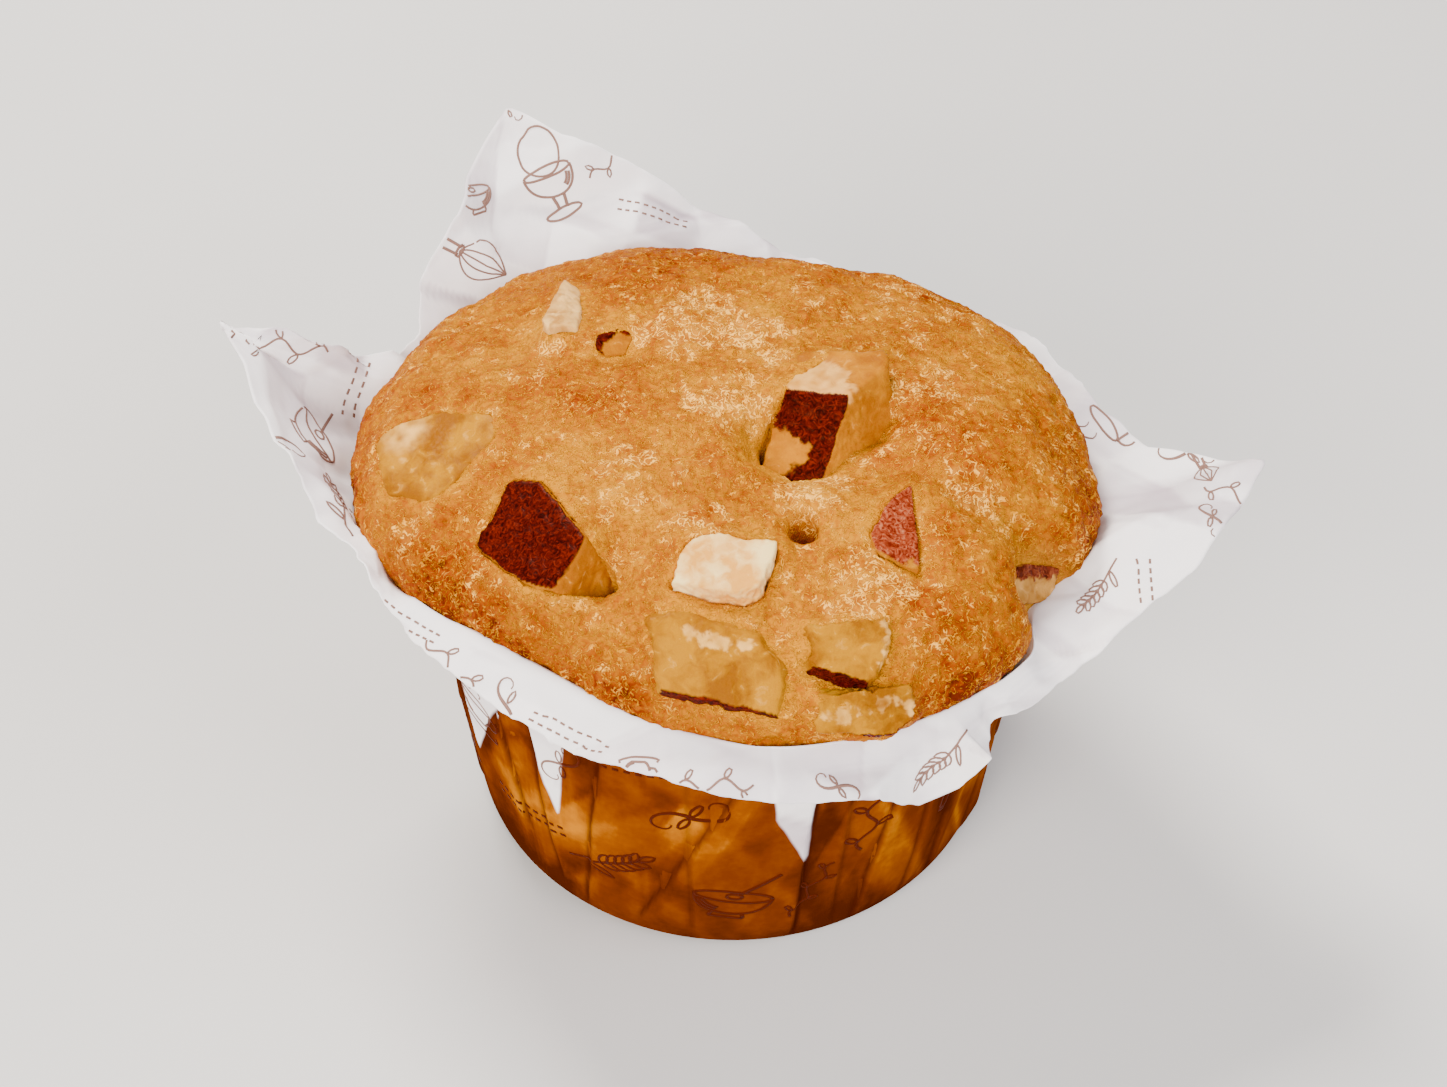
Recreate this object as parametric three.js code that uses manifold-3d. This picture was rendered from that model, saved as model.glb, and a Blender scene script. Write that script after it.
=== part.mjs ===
// A sweet potato muffin baked in a tulip case of greaseproof paper.
// Millimetres, +Z up. The origin is the centre of the underside of the case, and the
// longest petal of the case points along +X. Azimuths are degrees from +X towards +Y.

import * as THREE from 'three';
import { mergeVertices } from 'three/addons/utils/BufferGeometryUtils.js';
import Module from 'manifold-3d';

const wasm = await Module();
wasm.setup();

// ---------------------------------------------------------------- driving dimensions

const PAPER_THICKNESS = 0.4; // a sheet with its folded layers taken together
const CLEARANCE = 0.3; // air between pieces that touch
const LIP_CLEARANCE = 0.6; // air between the cap and the loose paper round it

// The cup that the batter was poured into: a flat foot, a small round edge and a wall
// that opens a little, up to the neck where the paper stopped holding the batter in.
const FOOT_RADIUS = 29;
const FOOT_ROUNDING = 2;
const NECK_RADIUS = 32;
const NECK_HEIGHT = 35;

// The cap that rose over the neck. The lip is its widest line, and its radius wanders:
// each wave is [times round, depth, azimuth of its crest].
const LIP_HEIGHT = 44;
const LIP_RADIUS = 36.6;
const LIP_WAVES = [[1, 0.3, 150], [2, 3.1, -37], [3, 1.05, 126], [4, 0.6, 42], [5, 0.45, -131]];
const LIP_NOTCH = { azimuth: 333, halfWidth: 7, depth: 5 }; // the cap split here
const CROWN_RISE = 13; // from the lip to the top
const CROWN_LEAN = 1.5; // lower at the back, where +Y is, and higher at the front
const CROWN_SQUARENESS = 2.4; // 2 is an ellipsoid, more is flatter on top

// Swells and hollows of the crust: centre over the base, reach, and height.
const CRUST_RELIEF = [
  { x: -20, y: -17, reach: 6, height: 0.9 },
  { x: -13, y: -22.5, reach: 6, height: 1.1 },
  { x: -6, y: -26, reach: 6, height: 0.7 },
  { x: 27, y: -8, reach: 11, height: 1.2 },
  { x: 21, y: -24, reach: 8, height: 1.2 },
  { x: -10, y: 20, reach: 10, height: 0.8 },
  { x: 12, y: 19, reach: 9, height: 0.4 },
  { x: 2, y: -24, reach: 9, height: -1.6 },
  { x: 13, y: -9, reach: 5, height: -3 },
  { x: 3, y: -12, reach: 5, height: -1.6 },
  { x: -12.5, y: -20, reach: 4.5, height: -2.6 },
  { x: 7, y: -17.5, reach: 2.5, height: -1.4 },
  { x: -12, y: 8, reach: 4, height: -1.2 },
  { x: -24, y: 12, reach: 5, height: -1 },
];

// Diced sweet potato. The visible face of each dice lies in a plane through `at`, and
// leans from level by `tilt` towards `azimuth`. Its outline is drawn in that plane,
// first coordinate to the right and second one upwards and back.
const DICE_BEVEL = 0.5;
const DICE_REACH_OUT = 7; // how far each pocket stays open above its dice
const DICE = [
  {
    name: 'sweet_potato_1', colour: '#6e1a12',
    at: [-20.6, -16.3, 53.4], azimuth: 208, tilt: 29, depth: 10,
    outline: [
      [-2.3, 6.5], [1.4, 5.3], [7.3, -2.8], [4.2, -7.6],
      [-0.3, -5.6], [-6.4, -0.2], [-3.7, 4],
    ],
  },
  {
    name: 'sweet_potato_2', colour: '#7a2217',
    at: [6.7, -5.7, 54.8], azimuth: 250, tilt: 54, depth: 12,
    outline: [[-1.7, 5.2], [5.2, 5.3], [5, 3.1], [2.7, -2.7], [0.7, -3.5], [-4.2, -2.3], [-2.7, 4]],
  },
  {
    name: 'sweet_potato_3', colour: '#d9a236',
    at: [-30.2, -4.1, 52.6], azimuth: 200, tilt: 20, depth: 7,
    outline: [
      [-8, 2.4], [-6.7, 4.6], [0.3, 5.5], [5.7, 3.7],
      [6.5, 0.1], [2.4, -4.5], [-0.6, -6.5], [-5.7, -4.8],
    ],
  },
  {
    name: 'sweet_potato_4', colour: '#f0dda8',
    at: [-0.2, -22.6, 55.3], azimuth: 262, tilt: 14, depth: 8,
    outline: [
      [-4.4, 2.8], [-1.5, 3.4], [4.6, 2.3], [4, -0.5],
      [2.9, -3.4], [0.7, -4.5], [-6, -2.4],
    ],
  },
  {
    name: 'sweet_potato_5', colour: '#a8504a',
    at: [16, -18.2, 54.9], azimuth: 305, tilt: 18, depth: 8,
    outline: [[1.7, 5.8], [2.3, -4.5], [0.6, -3.5], [-2, -2.6], [-2.7, -0.3], [-0.3, 4.2]],
  },
  {
    name: 'sweet_potato_6', colour: '#dcae55',
    at: [-1.8, -31.5, 51.2], azimuth: 262, tilt: 34, depth: 6,
    outline: [[-6.2, 4], [-3.7, 4.6], [3.9, 2.2], [6, -0.4], [6.1, -3], [5.5, -4.5], [-4.9, -2.2]],
  },
  {
    name: 'sweet_potato_7', colour: '#dfb45c',
    at: [11.8, -30.7, 51.7], azimuth: 283, tilt: 32, depth: 6,
    outline: [
      [-4.8, 2.3], [2.6, 3.2], [3.2, 1.3], [2.6, -0.6],
      [0.9, -3.1], [-1.1, -2.5], [-4.3, -1.5],
    ],
  },
  {
    name: 'sweet_potato_8', colour: '#dcae55',
    at: [12.8, -34.8, 47.5], azimuth: 285, tilt: 50, depth: 5,
    outline: [
      [-4.6, 0.4], [-1.4, -0.2], [0.8, 1.2], [3.9, 2],
      [4.9, -0.6], [2.6, -2.1], [-4.3, -2.2],
    ],
  },
  {
    name: 'sweet_potato_9', colour: '#e2b764',
    at: [-18.2, 14.8, 55.4], azimuth: 120, tilt: 12, depth: 7,
    outline: [
      [-0.9, 1.6], [0, 5.4], [1.3, 4.4], [1.9, -1.2],
      [1.7, -4.9], [-1.4, -5.2], [-2, -3.1],
    ],
  },
  {
    name: 'sweet_potato_10', colour: '#cf9128',
    at: [-12.6, 8.4, 55.6], azimuth: 300, tilt: 20, depth: 6,
    outline: [[-1.8, 1.2], [0.8, 2.4], [2, 1.5], [1.2, -0.8], [-0.9, -1.2], [-2, -0.4]],
  },
  {
    name: 'sweet_potato_11', colour: '#8a3324',
    at: [30.4, -15.8, 44.4], azimuth: 325, tilt: 60, depth: 7,
    outline: [
      [-4.5, 0.2], [-3.8, 1.6], [-2, 2.4], [1.9, 2.4],
      [4.4, 1.8], [3.8, -0.4], [1.6, -1.6], [-2.6, -1.6],
    ],
  },
];

// The cut edge of the paper: the azimuth on the wall that a crease starts from, then the
// azimuth, radius and height where it ends at the edge. Long radii are the four petals.
const EDGE = [
  [2, 3, 49.5, 46], [7, 6, 44.8, 44], [14, 15, 42.1, 43], [25, 25, 41.2, 42], [35, 33, 40.8, 41.5],
  [52, 50, 39.8, 41], [68, 68, 38.8, 41], [82, 82, 39.2, 42], [88, 88.5, 41.5, 45.5], [95, 95, 42.3, 47],
  [103, 104, 45.2, 51], [112, 113, 49.3, 54.5], [119, 118, 55.6, 56], [129, 132, 46.5, 52],
  [137, 141, 44.7, 48], [142, 146, 42.3, 44], [149, 152, 42.3, 44], [154, 159, 44.4, 48],
  [157, 161, 46.5, 50], [161, 164, 52.3, 54], [166, 166.5, 57.6, 54], [172, 176, 51.3, 51],
  [181, 187, 45.5, 49], [190, 195, 42, 46], [201, 205, 39.8, 44.6], [212, 215, 39.3, 43.8],
  [225, 225, 38.3, 43], [237, 237, 38.2, 43.6], [250, 250, 38.9, 43.2], [259, 259, 39.5, 42.5],
  [270, 270, 41.1, 42], [288, 290, 42.6, 41], [297, 299, 43.2, 36.5], [303, 305, 43.9, 42],
  [310, 310, 40.8, 42], [317, 316, 41.9, 42], [326, 325, 42.2, 43], [335, 334, 44.5, 44],
  [345, 344, 49.9, 45], [353, 354, 53.8, 46], [358, 359, 56, 48],
];
const EDGE_STEP = 4.6; // widest stretch of wall between two creases, in degrees
const LEAVING_HEIGHT = 38.5; // where the paper leaves the cake and opens out
const LEAVING_SLOPE = 0.42; // share of the way out over which it keeps the cake's slope
const PAPER_RINGS = [14, FOOT_RADIUS - FOOT_ROUNDING - 1]; // radii of the rows on the foot
const PAPER_CORNER = [0.15, 0.5, 1]; // rows round the foot's edge, as shares of the turn
const PAPER_ROWS = [7, 13, 20, 27, 33, 36, LEAVING_HEIGHT]; // heights of the rows on the wall
const LOOSE_ROWS = 6; // rows from there to the edge
const PLEATS = 26; // round the wall, uneven in width, slant and depth
const PLEAT_DEPTH = 0.9;
const PLEAT_STEEPNESS = 2.5; // of a fold's steep side, against its gentle one
const CRUMPLE = { height: 0.5, perCrease: 2.2, perLength: 5 }; // ripple of the loose paper

const CRUST_COLUMNS = 76;
const CRUST_CORNER = [0, 0.5, 1]; // rows round the cake's lower edge, as shares of the turn
const CRUST_ROWS = [10, 18, 26, NECK_HEIGHT]; // heights of the rows on the wall
const CRUST_UNDER_LIP = [0.25, 0.45, 0.65, 0.85]; // rows between neck and lip, as shares
const CROWN_RINGS = 14;
const CRUST_COLOUR = '#e8a02c';
const PAPER_COLOUR = '#efe9ea';

// ---------------------------------------------------------------- small helpers

const rad = THREE.MathUtils.degToRad;
const { clamp, lerp, smoothstep } = THREE.MathUtils;
const TURN = 2 * Math.PI;
const bell = (distance) => Math.exp(-distance * distance);

// The angle from one azimuth to another, the short way round.
function angleBetween(from, to) {
  return THREE.MathUtils.euclideanModulo(to - from + Math.PI, TURN) - Math.PI;
}

// The same sequence of numbers from 0 to 1 for the same seed.
function randomFrom(seed) {
  let state = seed;
  return () => {
    state = (state * 16807) % 2147483647;
    return state / 2147483647;
  };
}

const around = (azimuth, radius, z) => new THREE.Vector3(
  radius * Math.cos(azimuth), radius * Math.sin(azimuth), z,
);

// A closed skin over rings of points, each ring with as many points as the next, that
// starts and ends in single points. `rings` run from the bottom to the top.
function closedSkin(bottom, rings, top) {
  const columns = rings[0].length;
  const points = [bottom, ...rings.flat(), top];
  const at = (ring, column) => 1 + ring * columns + (column % columns);
  const last = points.length - 1;
  const faces = [];
  for (let column = 0; column < columns; column += 1) {
    faces.push(0, at(0, column + 1), at(0, column));
    for (let ring = 0; ring + 1 < rings.length; ring += 1) {
      const [a, b] = [at(ring, column), at(ring, column + 1)];
      const [c, d] = [at(ring + 1, column + 1), at(ring + 1, column)];
      faces.push(a, b, c, a, c, d);
    }
    faces.push(at(rings.length - 1, column), at(rings.length - 1, column + 1), last);
  }
  return indexed(points, faces);
}

function indexed(points, faces) {
  const geometry = new THREE.BufferGeometry().setFromPoints(points);
  geometry.setIndex(faces);
  return geometry;
}

// ---------------------------------------------------------------- shape of the cake

function lipRadius(azimuth) {
  const waves = LIP_WAVES.reduce(
    (sum, [times, depth, crest]) => sum + depth * Math.cos(times * azimuth - rad(crest)),
    0,
  );
  const fromNotch = angleBetween(rad(LIP_NOTCH.azimuth), azimuth) / rad(LIP_NOTCH.halfWidth);
  return LIP_RADIUS + waves - LIP_NOTCH.depth * bell(fromNotch);
}

// How far the crown stands over the lip at a distance back from the middle.
const crownRise = (y) => CROWN_RISE - CROWN_LEAN * (y / LIP_RADIUS);

// Radius of the smooth cake at a height: straight up to the neck, then an S up to the
// lip, then the superellipse of the crown.
function cakeRadius(azimuth, z) {
  if (z <= NECK_HEIGHT) return lerp(FOOT_RADIUS, NECK_RADIUS, z / NECK_HEIGHT);
  const lip = lipRadius(azimuth);
  if (z <= LIP_HEIGHT) return lerp(NECK_RADIUS, lip, smoothstep(z, NECK_HEIGHT, LIP_HEIGHT));
  const climb = Math.min((z - LIP_HEIGHT) / crownRise(lip * Math.sin(azimuth)), 1);
  return lip * (1 - climb ** 2) ** (1 / CROWN_SQUARENESS);
}

// Height of the smooth crown over a point of the base.
function crownHeight(x, y) {
  const share = Math.min(Math.hypot(x, y) / lipRadius(Math.atan2(y, x)), 1);
  return LIP_HEIGHT + crownRise(y) * Math.sqrt(1 - share ** CROWN_SQUARENESS);
}

const reliefCentres = CRUST_RELIEF.map(({ x, y, reach, height }) => ({
  centre: new THREE.Vector3(x, y, crownHeight(x, y)), reach, height,
}));

// Moves a point of the smooth cap out by the swells near it and in by the hollows.
function withRelief(point) {
  const swell = reliefCentres.reduce(
    (sum, { centre, reach, height }) => sum + height * bell(point.distanceTo(centre) / reach),
    0,
  );
  const lip = lipRadius(Math.atan2(point.y, point.x));
  const outward = new THREE.Vector3(
    point.x / lip ** 2, point.y / lip ** 2, Math.max(point.z - LIP_HEIGHT, 0) / CROWN_RISE ** 2,
  ).normalize();
  return point.clone().addScaledVector(outward, swell * smoothstep(point.z, NECK_HEIGHT, LIP_HEIGHT));
}

// Radius of the cake with its swells, which the paper has to pass.
function swollenRadius(azimuth, z) {
  const { x, y } = withRelief(around(azimuth, cakeRadius(azimuth, z), z));
  return Math.max(Math.hypot(x, y), cakeRadius(azimuth, z));
}

// The uncut cake, from the paper's floor to the crown.
function cakeGeometry() {
  const floor = PAPER_THICKNESS + CLEARANCE;
  const azimuths = Array.from({ length: CRUST_COLUMNS }, (_, i) => (i / CRUST_COLUMNS) * TURN);
  const ring = (place) => azimuths.map(place);
  const rings = [ring((a) => around(a, FOOT_RADIUS / 2, floor))];
  for (const turn of CRUST_CORNER) {
    const corner = rad(90 * turn);
    const inset = FOOT_ROUNDING * (1 - Math.sin(corner));
    const z = floor + FOOT_ROUNDING * (1 - Math.cos(corner));
    rings.push(ring((a) => around(a, cakeRadius(a, z) - inset, z)));
  }
  for (const z of CRUST_ROWS) rings.push(ring((a) => around(a, cakeRadius(a, z), z)));
  for (const share of CRUST_UNDER_LIP) {
    const z = lerp(NECK_HEIGHT, LIP_HEIGHT, share);
    rings.push(ring((a) => withRelief(around(a, cakeRadius(a, z), z))));
  }
  for (let i = 0; i < CROWN_RINGS; i += 1) {
    const climb = (Math.PI / 2) * (i / CROWN_RINGS);
    const share = Math.cos(climb) ** (2 / CROWN_SQUARENESS);
    rings.push(ring((a) => {
      const { x, y } = around(a, lipRadius(a) * share, 0);
      return withRelief(new THREE.Vector3(x, y, LIP_HEIGHT + crownRise(y) * Math.sin(climb)));
    }));
  }
  const crown = withRelief(new THREE.Vector3(0, 0, LIP_HEIGHT + CROWN_RISE));
  return closedSkin(new THREE.Vector3(0, 0, floor), rings, crown);
}

// ---------------------------------------------------------------- diced sweet potato

// A prism under its outline, grown by `grow` all round and standing out by `standing`.
function diceGeometry({ at, azimuth, tilt, depth, outline }, grow = 0, standing = 0) {
  const shape = new THREE.Shape(outline.map(([x, y]) => new THREE.Vector2(x, y)));
  const geometry = new THREE.ExtrudeGeometry(shape, {
    depth: depth + grow + standing - 2 * DICE_BEVEL,
    bevelThickness: DICE_BEVEL,
    bevelSize: DICE_BEVEL,
    bevelOffset: grow - DICE_BEVEL,
    bevelSegments: 2,
  });
  geometry.translate(0, 0, DICE_BEVEL - depth - grow);
  const lean = rad(tilt);
  const normal = around(rad(azimuth), Math.sin(lean), Math.cos(lean));
  const right = new THREE.Vector3(1, 0, 0).addScaledVector(normal, -normal.x).normalize();
  const upwards = new THREE.Vector3().crossVectors(normal, right);
  geometry.applyMatrix4(new THREE.Matrix4().makeBasis(right, upwards, normal).setPosition(...at));
  return geometry;
}

// ---------------------------------------------------------------- paper case

const pleats = (() => {
  const random = randomFrom(41);
  return Array.from({ length: PLEATS }, (_, i) => ({
    azimuth: rad((360 / PLEATS) * (i + 0.7 * (random() - 0.5))),
    slant: rad(14 * (random() - 0.5)),
    width: rad(3 + 4 * random()),
    depth: PLEAT_DEPTH * (0.35 + 0.65 * random()),
  }));
})();

// How far the folds of the wall stand out from the cake: each is steep on one side.
function pleatRelief(azimuth, z) {
  const height = clamp(z / NECK_HEIGHT, 0, 1);
  const fade = smoothstep(z, 0, 8) * (1 - 0.5 * smoothstep(z, NECK_HEIGHT, LEAVING_HEIGHT));
  return fade * pleats.reduce((most, pleat) => {
    const across = angleBetween(pleat.azimuth + pleat.slant * height, azimuth) / pleat.width;
    const fold = across < 0 ? 1 + PLEAT_STEEPNESS * across : 1 - across;
    return Math.max(most, pleat.depth * Math.max(fold, 0));
  }, 0);
}

// The creases that the loose paper is ruled from: those of the outline, and between
// them as many more as keep the wall's steps short.
function creases() {
  return EDGE.flatMap((from, i) => {
    const to = EDGE[(i + 1) % EDGE.length];
    const span = (share) => from.map((value, column) => {
      const end = column < 2 ? value + THREE.MathUtils.euclideanModulo(to[column] - value, 360) : to[column];
      return lerp(value, end, share);
    });
    const steps = Math.ceil((span(1)[0] - from[0]) / EDGE_STEP);
    return Array.from({ length: steps }, (_, step) => span(step / steps));
  });
}

// One line up the inside of the paper, from the foot to the edge. Above the leaving
// height it is a quadratic Bezier curve that starts along the cake and ends at the edge.
function paperLine([wallDegrees, edgeDegrees, edgeRadius, edgeHeight], index) {
  const wall = rad(wallDegrees);
  const floor = PAPER_THICKNESS;
  const line = PAPER_RINGS.map((radius) => around(wall, radius, floor));
  const onWall = (z) => swollenRadius(wall, z) + CLEARANCE + pleatRelief(wall, z);
  for (const turn of PAPER_CORNER) {
    const corner = rad(90 * turn);
    const z = floor + FOOT_ROUNDING * (1 - Math.cos(corner));
    line.push(around(wall, onWall(z) - FOOT_ROUNDING * (1 - Math.sin(corner)), z));
  }
  for (const z of PAPER_ROWS) line.push(around(wall, onWall(z), z));

  const start = new THREE.Vector2(onWall(LEAVING_HEIGHT), LEAVING_HEIGHT);
  const end = new THREE.Vector2(edgeRadius, edgeHeight);
  const along = new THREE.Vector2(onWall(LEAVING_HEIGHT + 1) - start.x, 1).normalize();
  const middle = start.clone().addScaledVector(along, LEAVING_SLOPE * start.distanceTo(end));
  for (let i = 1; i <= LOOSE_ROWS; i += 1) {
    const t = i / LOOSE_ROWS;
    const point = start.clone().multiplyScalar((1 - t) ** 2)
      .addScaledVector(middle, 2 * t * (1 - t))
      .addScaledVector(end, t ** 2);
    const azimuth = wall + angleBetween(wall, rad(edgeDegrees)) * t;
    const phase = CRUMPLE.perCrease * index + CRUMPLE.perLength * t;
    const ripple = CRUMPLE.height * Math.sin(phase) * t * (2 - t);
    const z = point.y + ripple;
    line.push(around(azimuth, Math.max(point.x, swollenRadius(azimuth, z) + LIP_CLEARANCE), z));
  }
  return line;
}

// The sheet between its inner face and the same face moved out by the paper's thickness.
function paperGeometry() {
  const lines = creases().map(paperLine);
  const rows = lines[0].map((_, row) => lines.map((line) => line[row]));
  const columns = lines.length;
  const inner = [new THREE.Vector3(0, 0, PAPER_THICKNESS), ...rows.flat()];
  const at = (row, column) => 1 + row * columns + (column % columns);
  const faces = [];
  for (let column = 0; column < columns; column += 1) {
    faces.push([0, at(0, column), at(0, column + 1)]);
    for (let row = 0; row + 1 < rows.length; row += 1) {
      const [a, b] = [at(row, column), at(row, column + 1)];
      const [c, d] = [at(row + 1, column + 1), at(row + 1, column)];
      faces.push([a, c, b], [a, d, c]);
    }
  }
  const face = indexed(inner, faces.flat());
  face.computeVertexNormals();
  const normals = face.getAttribute('normal');
  const outer = inner.map((point, i) => {
    const outward = new THREE.Vector3().fromBufferAttribute(normals, i).negate();
    return point.clone().addScaledVector(outward, PAPER_THICKNESS);
  });
  const shift = inner.length;
  const outerFaces = faces.map(([a, b, c]) => [a + shift, c + shift, b + shift]);
  const rim = [];
  for (let column = 0; column < columns; column += 1) {
    const [a, b] = [at(rows.length - 1, column), at(rows.length - 1, column + 1)];
    rim.push(a, b + shift, b, a, a + shift, b + shift);
  }
  return indexed([...inner, ...outer], [...faces.flat(), ...outerFaces.flat(), ...rim]);
}

// ---------------------------------------------------------------- cutting

function toManifold(geometry) {
  const bare = geometry.clone();
  for (const name of ['normal', 'uv']) bare.deleteAttribute(name);
  const merged = mergeVertices(bare, 1e-4);
  return new wasm.Manifold(new wasm.Mesh({
    numProp: 3,
    vertProperties: new Float32Array(merged.getAttribute('position').array),
    triVerts: new Uint32Array(merged.getIndex().array),
  }));
}

function toGeometry(solid) {
  const mesh = solid.getMesh();
  const geometry = new THREE.BufferGeometry();
  geometry.setAttribute('position', new THREE.BufferAttribute(mesh.vertProperties, 3));
  geometry.setIndex(new THREE.BufferAttribute(mesh.triVerts, 1));
  return geometry;
}

// The cake with a pocket for each dice, a clearance larger all round.
function cakeWithPockets() {
  return DICE.reduce(
    (solid, dice) => solid.subtract(toManifold(diceGeometry(dice, CLEARANCE, DICE_REACH_OUT))),
    toManifold(cakeGeometry()),
  );
}

// ---------------------------------------------------------------- the part

function piece(name, geometry, color, roughness) {
  geometry.computeVertexNormals();
  const mesh = new THREE.Mesh(
    geometry,
    new THREE.MeshStandardMaterial({ color, roughness, metalness: 0 }),
  );
  mesh.name = name;
  return mesh;
}

const muffin = new THREE.Group();
muffin.add(piece('paper_case', paperGeometry(), PAPER_COLOUR, 0.6));
muffin.add(piece('muffin', toGeometry(cakeWithPockets()), CRUST_COLOUR, 0.5));
for (const dice of DICE) muffin.add(piece(dice.name, diceGeometry(dice), dice.colour, 0.4));

export default muffin;
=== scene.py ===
"""Looks of a sweet potato muffin that stands in a printed paper tulip case.

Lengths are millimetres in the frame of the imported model: +Z up, the origin at the middle
of the foot, azimuths from +X towards +Y. Meshes are turned to metres as they are made.
"""

import itertools
import logging
from dataclasses import dataclass, field
from enum import Enum

import bpy
import numpy as np
from mathutils import Matrix, Vector

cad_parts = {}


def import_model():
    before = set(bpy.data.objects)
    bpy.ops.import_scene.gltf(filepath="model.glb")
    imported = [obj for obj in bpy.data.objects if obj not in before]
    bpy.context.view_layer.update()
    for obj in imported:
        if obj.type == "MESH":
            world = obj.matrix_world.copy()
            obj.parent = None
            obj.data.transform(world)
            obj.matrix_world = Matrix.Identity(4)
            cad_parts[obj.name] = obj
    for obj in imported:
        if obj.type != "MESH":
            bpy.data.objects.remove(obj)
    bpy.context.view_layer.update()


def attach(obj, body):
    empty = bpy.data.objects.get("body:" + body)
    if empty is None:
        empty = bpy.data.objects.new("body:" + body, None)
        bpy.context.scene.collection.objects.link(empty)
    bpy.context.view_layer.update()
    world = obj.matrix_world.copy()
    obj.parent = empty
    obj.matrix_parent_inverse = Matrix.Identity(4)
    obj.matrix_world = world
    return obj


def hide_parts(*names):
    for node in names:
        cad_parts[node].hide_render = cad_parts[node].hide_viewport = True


log = logging.getLogger("muffin")

MM = 0.001
TURN = 2 * np.pi
BODY = "root"

Array = np.ndarray


class Slot(Enum):
    """The record's material slots."""

    PAPER = "greaseproof_paper"
    CRUST = "baked_crust"
    FLESH = "potato_flesh"
    SKIN = "potato_skin"


# ------------------------------------------------------------------ numbers and noise


def smoothstep(value: Array, low: float, high: float) -> Array:
    """0 below low, 1 above high, and 3t^2 - 2t^3 of the share between them."""
    share = np.clip((value - low) / (high - low), 0, 1)
    return share * share * (3 - 2 * share)


def mix(low: Array | float, high: Array | float, share: Array | float) -> Array:
    """The straight line from low, at share 0, to high, at share 1."""
    return low + (high - low) * share


def bell(distance: Array) -> Array:
    """exp(-d^2): 1 at the centre, and 0.37 one reach away."""
    return np.exp(-(distance ** 2))


def angle_between(start: Array | float, end: Array | float) -> Array:
    """The angle from one azimuth to another, the short way round, in radians."""
    return (end - start + np.pi) % TURN - np.pi


def around(azimuth: Array, radius: Array, height: Array) -> Array:
    """Points from cylinder coordinates."""
    spread = np.broadcast_arrays(radius * np.cos(azimuth), radius * np.sin(azimuth), height)
    return np.stack(spread, -1).astype(float)


def unit(vectors: Array) -> Array:
    """Each vector over its own length."""
    return vectors / np.maximum(np.linalg.norm(vectors, axis=-1, keepdims=True), 1e-12)


def run_length(line: Array) -> Array:
    """How far each point of a line is from its first, along it."""
    return np.concatenate([[0], np.cumsum(np.linalg.norm(np.diff(line, axis=0), axis=-1))])


class Noise:
    """Gradient noise in space: a random slope at each corner of a cubic lattice, and
    between the corners their slopes times the distances, blended by 6t^5 - 15t^4 + 10t^3.
    """

    LATTICE = 32

    def __init__(self, seed: int) -> None:
        """Draws the slopes.

        Args:
            seed: the same seed gives the same noise.
        """
        slopes = np.random.default_rng(seed).normal(size=(self.LATTICE,) * 3 + (3,))
        self.slopes = unit(slopes)

    def slope(self, corner: Array) -> Array:
        """The slope at each corner of the lattice, which repeats."""
        return self.slopes[tuple(np.moveaxis(corner % self.LATTICE, -1, 0))]

    def at(self, points: Array, cell: float) -> Array:
        """One layer of noise.

        Args:
            points: places, the last axis being x, y and z.
            cell: the lattice spacing, which is about the size of a bump.

        Returns:
            A number for each point, mostly between -1 and 1.
        """
        scaled = points / cell
        corner = np.floor(scaled).astype(int)
        part = scaled - corner
        blend = part ** 3 * (part * (part * 6 - 15) + 10)
        total = np.zeros(points.shape[:-1])
        for step in itertools.product((0, 1), repeat=3):
            weight = np.prod(np.where(step, blend, 1 - blend), axis=-1)
            total += weight * np.sum(self.slope(corner + step) * (part - step), axis=-1)
        return total * 1.7

    def facets(self, points: Array, cell: float) -> Array:
        """Flat facets that meet in straight creases, as in paper that was crumpled.

        The lattice's corners have random heights. A point lies in the tetrahedron that is
        walked from its cube's first corner to the last, one axis after another, the one
        with the largest share first; its height is the straight line between those four.

        Args:
            points: places, the last axis being x, y and z.
            cell: the lattice spacing, which is about the width of a facet.

        Returns:
            A number for each point, between -1 and 1.
        """
        turned = unit(np.array([[2.0, 1, 2], [-2, 2, 1], [1, 2, -2]]))
        scaled = points @ turned / cell
        corner = np.floor(scaled).astype(int)
        part = scaled - corner
        order = np.argsort(-part, axis=-1)
        share = np.take_along_axis(part, order, -1)
        share = np.concatenate([share, np.zeros_like(share[..., :1])], -1)
        total, weight = 0.0, 1 - share[..., 0]
        for i in range(4):
            total = total + weight * self.slope(corner)[..., 0]
            if i < 3:
                weight = share[..., i] - share[..., i + 1]
                corner = corner + (np.arange(3) == order[..., i:i + 1])
        return total

    def bends(self, points: Array, cell: float, step: Array) -> tuple[Array, Array]:
        """How the facets rise along a step, and how they bend where two of them meet.

        Args:
            points: places, the last axis being x, y and z.
            cell: as for the facets.
            step: half of the way over which the rise is taken.

        Returns:
            The height ahead less that behind, which is the same all over a facet, and
            the sum of both less twice the height here, which is 0 off the creases. Each
            height is the mean of three places in a row across the step.
        """
        side = np.cross(step, (0.0, 0.0, 1.0))
        behind, here, ahead = (
            sum(self.facets(points + k * step + j * side, cell) for j in (-1, 0, 1)) / 3
            for k in (-1, 0, 1)
        )
        return ahead - behind, ahead + behind - 2 * here

    def layered(self, points: Array, cell: float, layers: int) -> Array:
        """Noise at a cell, half of it at half the cell, and so on."""
        return sum(self.at(points + 7.3 * i, cell / 2 ** i) / 2 ** i for i in range(layers))


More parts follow.
